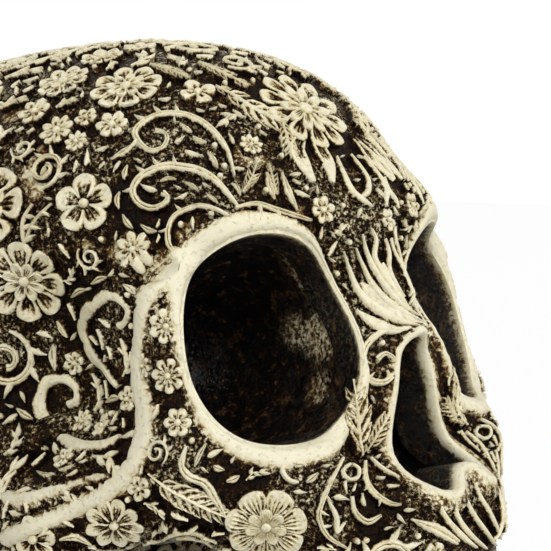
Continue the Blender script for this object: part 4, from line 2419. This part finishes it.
@dataclass
class Teeth:
    """Both rows of teeth, each tooth a rounded peg with wash left between it and the next."""

    anatomy: Anatomy
    finish: bpy.types.Material
    form: CrownForm = field(default_factory=CrownForm)
    widths: tuple[float, ...] = (8.5, 6.5, 7.5, 7.0, 7.0, 10.0, 10.0)
    height: float = 17.0
    depth: float = 8.0
    overbite: float = 2.5
    upper_level: float = -44.3
    lower_level: float = -62.1
    squareness: float = 3.2
    swell: float = 0.12
    neck: float = 0.16
    edge_slim: float = 0.06
    cusp: float = 0.05
    edge_fade: Pair = (0.6, 1.0)
    cusp_fade: Pair = (-0.2, 0.9)
    swell_fade: Pair = (0.1, 1.0)
    side_fade: Pair = (0.72, 1.0)
    gum_fade: Pair = (0.3, 0.85)
    facets: tuple[int, int] = (24, 18)
    ground_wear: float = 0.1
    tooth_wear: float = 0.84
    gum_dark: float = 0.75

    def make(self) -> None:
        """Builds the upper row on the cranium and the lower row on the jaw."""
        upper = self.form.arch[:2]
        lower = tuple(size - self.overbite for size in upper)
        for name, arch, level, crown in (("upper_teeth", upper, self.upper_level, -1),
                                         ("lower_teeth", lower, self.lower_level, 1)):
            bpy.ops.object.select_all(action="DESELECT")
            pegs = [self.peg(arch, level, side, place, crown)
                    for side in Side for place in range(len(self.widths))]
            for peg in pegs:
                peg.select_set(True)
            bpy.context.view_layer.objects.active = pegs[0]
            bpy.ops.object.join()
            row = bpy.context.object
            row.name = row.data.name = name
            row.data.materials.append(self.finish)
            only(row)
            bpy.ops.object.shade_smooth()
            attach(row, "root")
            LOG.info("%s: %d teeth", name, len(pegs))

    def angle_of(self, arch: Pair, place: int) -> float:
        """The angle round an arch at which a tooth's middle stands.

        Args:
            arch: Half width and depth of the row's arch.
            place: How many teeth lie between it and the middle.

        Returns:
            The angle from the middle of the row.
        """
        angle = 0.0
        for width in self.widths[:place + 1]:
            reach = math.hypot(arch[0] * math.cos(angle), arch[1] * math.sin(angle))
            half_turn = width / 2 / reach
            angle += half_turn * 2
        return angle - half_turn

    def peg(self, arch: Pair, level: float, side: Side, place: int,
            crown: int) -> bpy.types.Object:
        """One tooth of a row.

        Args:
            arch: Half width and depth of the row's arch.
            level: Height of the tooth's middle.
            side: The skull's side.
            place: How many teeth lie between it and the middle.
            crown: 1 where the biting edge is on top, -1 where it is below.

        Returns:
            The tooth, with its place in its mesh.
        """
        angle = self.angle_of(arch, place)
        turn = math.atan2(arch[1] * math.sin(angle), arch[0] * math.cos(angle)) * side.value
        middle = Vector((side.value * arch[0] * math.sin(angle),
                         self.form.arch[2] - arch[1] * math.cos(angle), level))
        segments, rings = self.facets
        bpy.ops.mesh.primitive_uv_sphere_add(segments=segments, ring_count=rings, radius=1)
        peg = bpy.context.object
        wear = []
        for vertex in peg.data.vertices:
            unit = vertex.co.normalized()
            norm = sum(abs(part) ** self.squareness for part in unit) ** (1 / self.squareness)
            x, y, z = unit / norm
            up = z * crown
            slim = (1 - self.neck * ease(-up, 0.0, 1.0)
                    - self.edge_slim * ease(up, *self.edge_fade))
            lobe = self.cusp * math.cos(3 * math.pi * x) * ease(up, *self.cusp_fade) * (y < 0)
            deep = slim - self.swell * ease(up, *self.swell_fade) + lobe
            local = Vector((x * slim * self.widths[place] / 2, y * deep * self.depth / 2,
                            z * self.height / 2))
            local.rotate(Matrix.Rotation(turn, 3, "Z"))
            vertex.co = self.anatomy.to_row(middle + local)
            wear.append(self.tooth_wear * (1 - ease(abs(x), *self.side_fade))
                        * (1 - self.gum_dark * ease(-up, *self.gum_fade)) + self.ground_wear)
        set_attribute(peg.data, "wear", wear)
        set_attribute(peg.data, "gloom", [0.0] * len(wear))
        return peg


@dataclass
class Jaw(Carver):
    """The jaw casting: its skin, its sunk ground and the carvings on its outside."""

    form: CrownForm = field(default_factory=CrownForm)
    voxel: float = 0.95
    smoothing: int = 9
    ground_depth: float = 1.3
    foot_below: float = 0.7
    gum_level: float = -65.0
    gum_fade: Pair = (-2.0, 1.0)
    gum_back: float = -35.0
    arch: Pair = (26.5, 34.5)
    ledge_fade_shares: Pair = (1.1, 1.2)
    outside_fade: Pair = (0.35, 0.6)
    foot_fade: Pair = (2.0, 4.0)
    from_middle: float = 0.8
    upwards_fade: Pair = (-0.2, 0.2)
    facing_fade: Pair = (-0.2, 0.1)
    bare: float = 0.9
    ground_wear: float = 0.1
    edge_wear: float = 0.8
    inner_wear: float = 0.13
    gum_wear: float = 0.3
    seed: int = 11
    tries: tuple = (("rosette", 6.5, 400), ("curl", 6.0, 900), ("sprig", 6.0, 900),
                    ("rosette", 4.2, 900), ("curl", 4.0, 1500), ("sprig", 4.0, 2000),
                    ("rosette", 2.7, 1500), ("sprig", 2.7, 3000), ("comma", 1.9, 4000),
                    ("comma", 1.3, 5000), ("bead", 0.8, 1500), ("comma", 0.95, 4000))

    def make(self, node: bpy.types.Object, head: HeadCarvings) -> None:
        """Builds the skin over the CAD node, sinks its outside and carves it.

        Args:
            node: The CAD casting.
            head: Lays single carvings.
        """
        skin = Skin("jaw_skin", node, self.voxel, self.smoothing)
        outside, gums = self.outside(skin)
        free = outside * (1 - gums) * eased(skin.places[:, 2] / MM, *self.foot_fade)
        skin.ground = free > self.bare
        skin.sink(1 - free, self.ground_depth)
        inner = self.inner_wear * (1 - outside) * (1 - gums)
        edge = 4 * free * (1 - free)
        wear = self.ground_wear + self.edge_wear * edge + inner + self.gum_wear * gums
        wear = np.clip(wear, 0, 1)
        self.hand_over(skin, "jaw_casting", wear, np.zeros(len(wear)))
        relief = self.relief("jaw_carvings", skin)
        relief.foot = -self.ground_depth - self.foot_below
        ground = [i for i in np.nonzero(skin.ground)[0]
                  if skin.places[i, 0] < -self.from_middle * MM]
        head.fill(ground, skin, self.tries, random.Random(self.seed), lambda place: relief)
        relief.make(self.finish)

    def outside(self, skin: Skin) -> tuple[np.ndarray, np.ndarray]:
        """Which vertices lie on the jaw's outside, and which on its gums, from 0 to 1.

        Args:
            skin: The skin.

        Returns:
            The outside's weights and the gums'.
        """
        level = self.anatomy.from_row(skin.places)
        turned = skin.normals @ np.array(self.anatomy.lean.to_3x3())
        middle = self.form.arch[2]
        out = level - (0, middle, 0)
        out[:, 1] = np.minimum(out[:, 1], 0)
        out[:, 2] = 0
        out /= np.maximum(np.linalg.norm(out, axis=1, keepdims=True), 1e-6)
        facing = (out * turned).sum(axis=1)
        before = np.hypot(level[:, 0] / self.arch[0],
                          np.minimum(level[:, 1] - middle, 0) / self.arch[1])
        ledge = (eased(before, *self.ledge_fade_shares)
                 * eased(turned[:, 2], *self.upwards_fade) * eased(facing, *self.facing_fade))
        low, high = self.gum_fade
        gums = eased(level[:, 2], self.gum_level + low, self.gum_level + high)
        return (np.maximum(eased(facing, *self.outside_fade), ledge),
                (level[:, 1] < self.gum_back) * gums)


@dataclass
class SmallParts:
    """The dowels, the plug in the pour opening and the felt pads."""

    rim: float = 0.9
    upwards: float = 0.9
    plug_dish: float = 0.15
    felt_dish: float = 0.35
    facets: int = 72
    inset_share: float = 0.12
    smooth_deg: float = 40

    def make(self, nodes: dict[str, bpy.types.Object]) -> None:
        """Dresses the dowels and builds the plug and the pads over their CAD nodes.

        Args:
            nodes: The CAD nodes by name.
        """
        steel, felt, brown = (finish.make()
                              for finish in (GROUND_STEEL, PRESSED_FELT, PLUG_RESIN))
        for name in ("jaw_dowel_left", "jaw_dowel_right"):
            for slot in nodes[name].material_slots:
                slot.material = steel
        self.disc("base_plug", "pour_plug", brown, "plug_resin", self.rim,
                  self.plug_dish)
        for place in ("front_left", "front_right", "back_left", "back_right"):
            self.disc(f"felt_pad_{place}", f"felt_foot_{place}", felt, "felt", self.rim / 3,
                      self.felt_dish)

    def disc(self, node: str, name: str, finish: bpy.types.Material, slot: str,
             edge: float, dish: float) -> None:
        """A round disc with softened edges and a slightly dished top.

        Args:
            node: The CAD node that it stands for.
            name: Its own name.
            finish: Its material.
            slot: The record's slot.
            edge: Radius of its edges, in millimetres.
            dish: How far its top is dished, in millimetres.
        """
        low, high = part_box(node)
        middle, size = (low + high) / 2, high - low
        bpy.ops.object.select_all(action="DESELECT")
        bpy.ops.mesh.primitive_cylinder_add(vertices=self.facets, radius=size.x / 2,
                                            depth=size.z, location=middle)
        disc = bpy.context.object
        disc.name = disc.data.name = name
        bpy.ops.object.transform_apply(location=True, rotation=True, scale=True)
        pick(disc, "FACE", lambda face: face.normal.z > self.upwards)
        bpy.ops.mesh.inset(thickness=size.x * self.inset_share)
        bpy.ops.transform.translate(value=(0, 0, -dish * MM))
        bpy.ops.object.mode_set(mode="OBJECT")
        apply_modifier(disc, "BEVEL", width=edge * MM, segments=3, limit_method="ANGLE",
                       angle_limit=math.radians(self.smooth_deg))
        bpy.ops.object.shade_smooth_by_angle(angle=math.radians(self.smooth_deg))
        disc.data.materials.append(finish)
        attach(disc, "root")
        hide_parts(node)
        LOG.info("%s: stands for %s", name, node)


@dataclass
class Studio:
    """A pale floor, a white background and soft lamps round the object."""

    floor_half: float = 3.0
    floor_colour: str = "#E9E8E6"
    floor_roughness: float = 0.9
    key: Four = (-0.85, -0.85, 1.25, 15.0)
    fill: Four = (0.5, -1.4, 0.7, 6.5)
    rear: Four = (0.6, 1.3, 1.4, 6.0)
    lamp_size: float = 0.7
    aim: Triple = (0.0, 0.0, 0.08)
    paper_glow: float = 0.97
    sky: float = 0.24

    def make(self) -> None:
        """Adds the floor, the lamps and the world."""
        bpy.ops.object.select_all(action="DESELECT")
        bpy.ops.mesh.primitive_plane_add(size=self.floor_half * 2, location=(0, 0, 0))
        floor = bpy.context.object
        floor.name = "studio_floor"
        floor.data.materials.append(self._paper())
        for name, (x, y, z, power) in (("key", self.key), ("fill", self.fill),
                                       ("rear", self.rear)):
            lamp = bpy.data.lights.new(f"{name}_lamp", "AREA")
            lamp.shape, lamp.size, lamp.energy = "SQUARE", self.lamp_size, power
            holder = bpy.data.objects.new(f"{name}_lamp", lamp)
            bpy.context.scene.collection.objects.link(holder)
            holder.location = (x, y, z)
            turn = (Vector(self.aim) - holder.location).to_track_quat("-Z", "Y")
            holder.rotation_euler = turn.to_euler()
        self._sky()

    def _paper(self) -> bpy.types.Material:
        """Matt background paper that reads white where the camera sees it.

        Returns:
            The material.
        """
        tree = FinishTree.named("studio_paper")
        tree.feed(tree.shader, Base_Color=linear(self.floor_colour),
                  Roughness=self.floor_roughness)
        share = tree.add("ShaderNodeMath", {"operation": "MULTIPLY"}, i0=tree.seen(),
                         i1=self.paper_glow)
        white = tree.add("ShaderNodeEmission", Strength=1.0)
        mix = tree.add("ShaderNodeMixShader", i0=share, i1=tree.shader, i2=white)
        tree.feed(tree.output, Surface=mix)
        return tree.owner

    def _sky(self) -> None:
        """A plain pale world, white where the camera or a reflection sees it."""
        world = bpy.data.worlds.new("studio_sky")
        bpy.context.scene.world = world
        tree = FinishTree(world)
        strength = tree.add("ShaderNodeMapRange", Value=tree.seen(), To_Min=self.sky)
        white = tree.add("ShaderNodeBackground", Color=(1, 1, 1, 1), Strength=strength)
        tree.add("ShaderNodeOutputWorld", Surface=white)


def main() -> None:
    """Builds the pieces in order."""
    logging.basicConfig(level=logging.INFO, format="%(name)s: %(message)s")
    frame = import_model()
    bpy.context.scene.view_settings.view_transform = "Standard"
    anatomy = Anatomy()
    view = PhotoView(anatomy.ear)
    finish = AgedResin().make()
    Studio().make()
    view.make()
    skin = Cranium(anatomy, view, finish).make(frame["nodes"]["cranium_casting"])
    taken = Taken()
    OpeningRims(anatomy, view, finish, taken).make(skin)
    FaceCarvings(anatomy, view, finish, taken).make(skin)
    head = HeadCarvings(anatomy, view, finish, taken)
    head.make(skin)
    Teeth(anatomy, finish).make()
    Jaw(anatomy, view, finish, taken).make(frame["nodes"]["jaw_casting"], head)
    SmallParts().make(frame["nodes"])


if __name__ == "__main__":
    main()
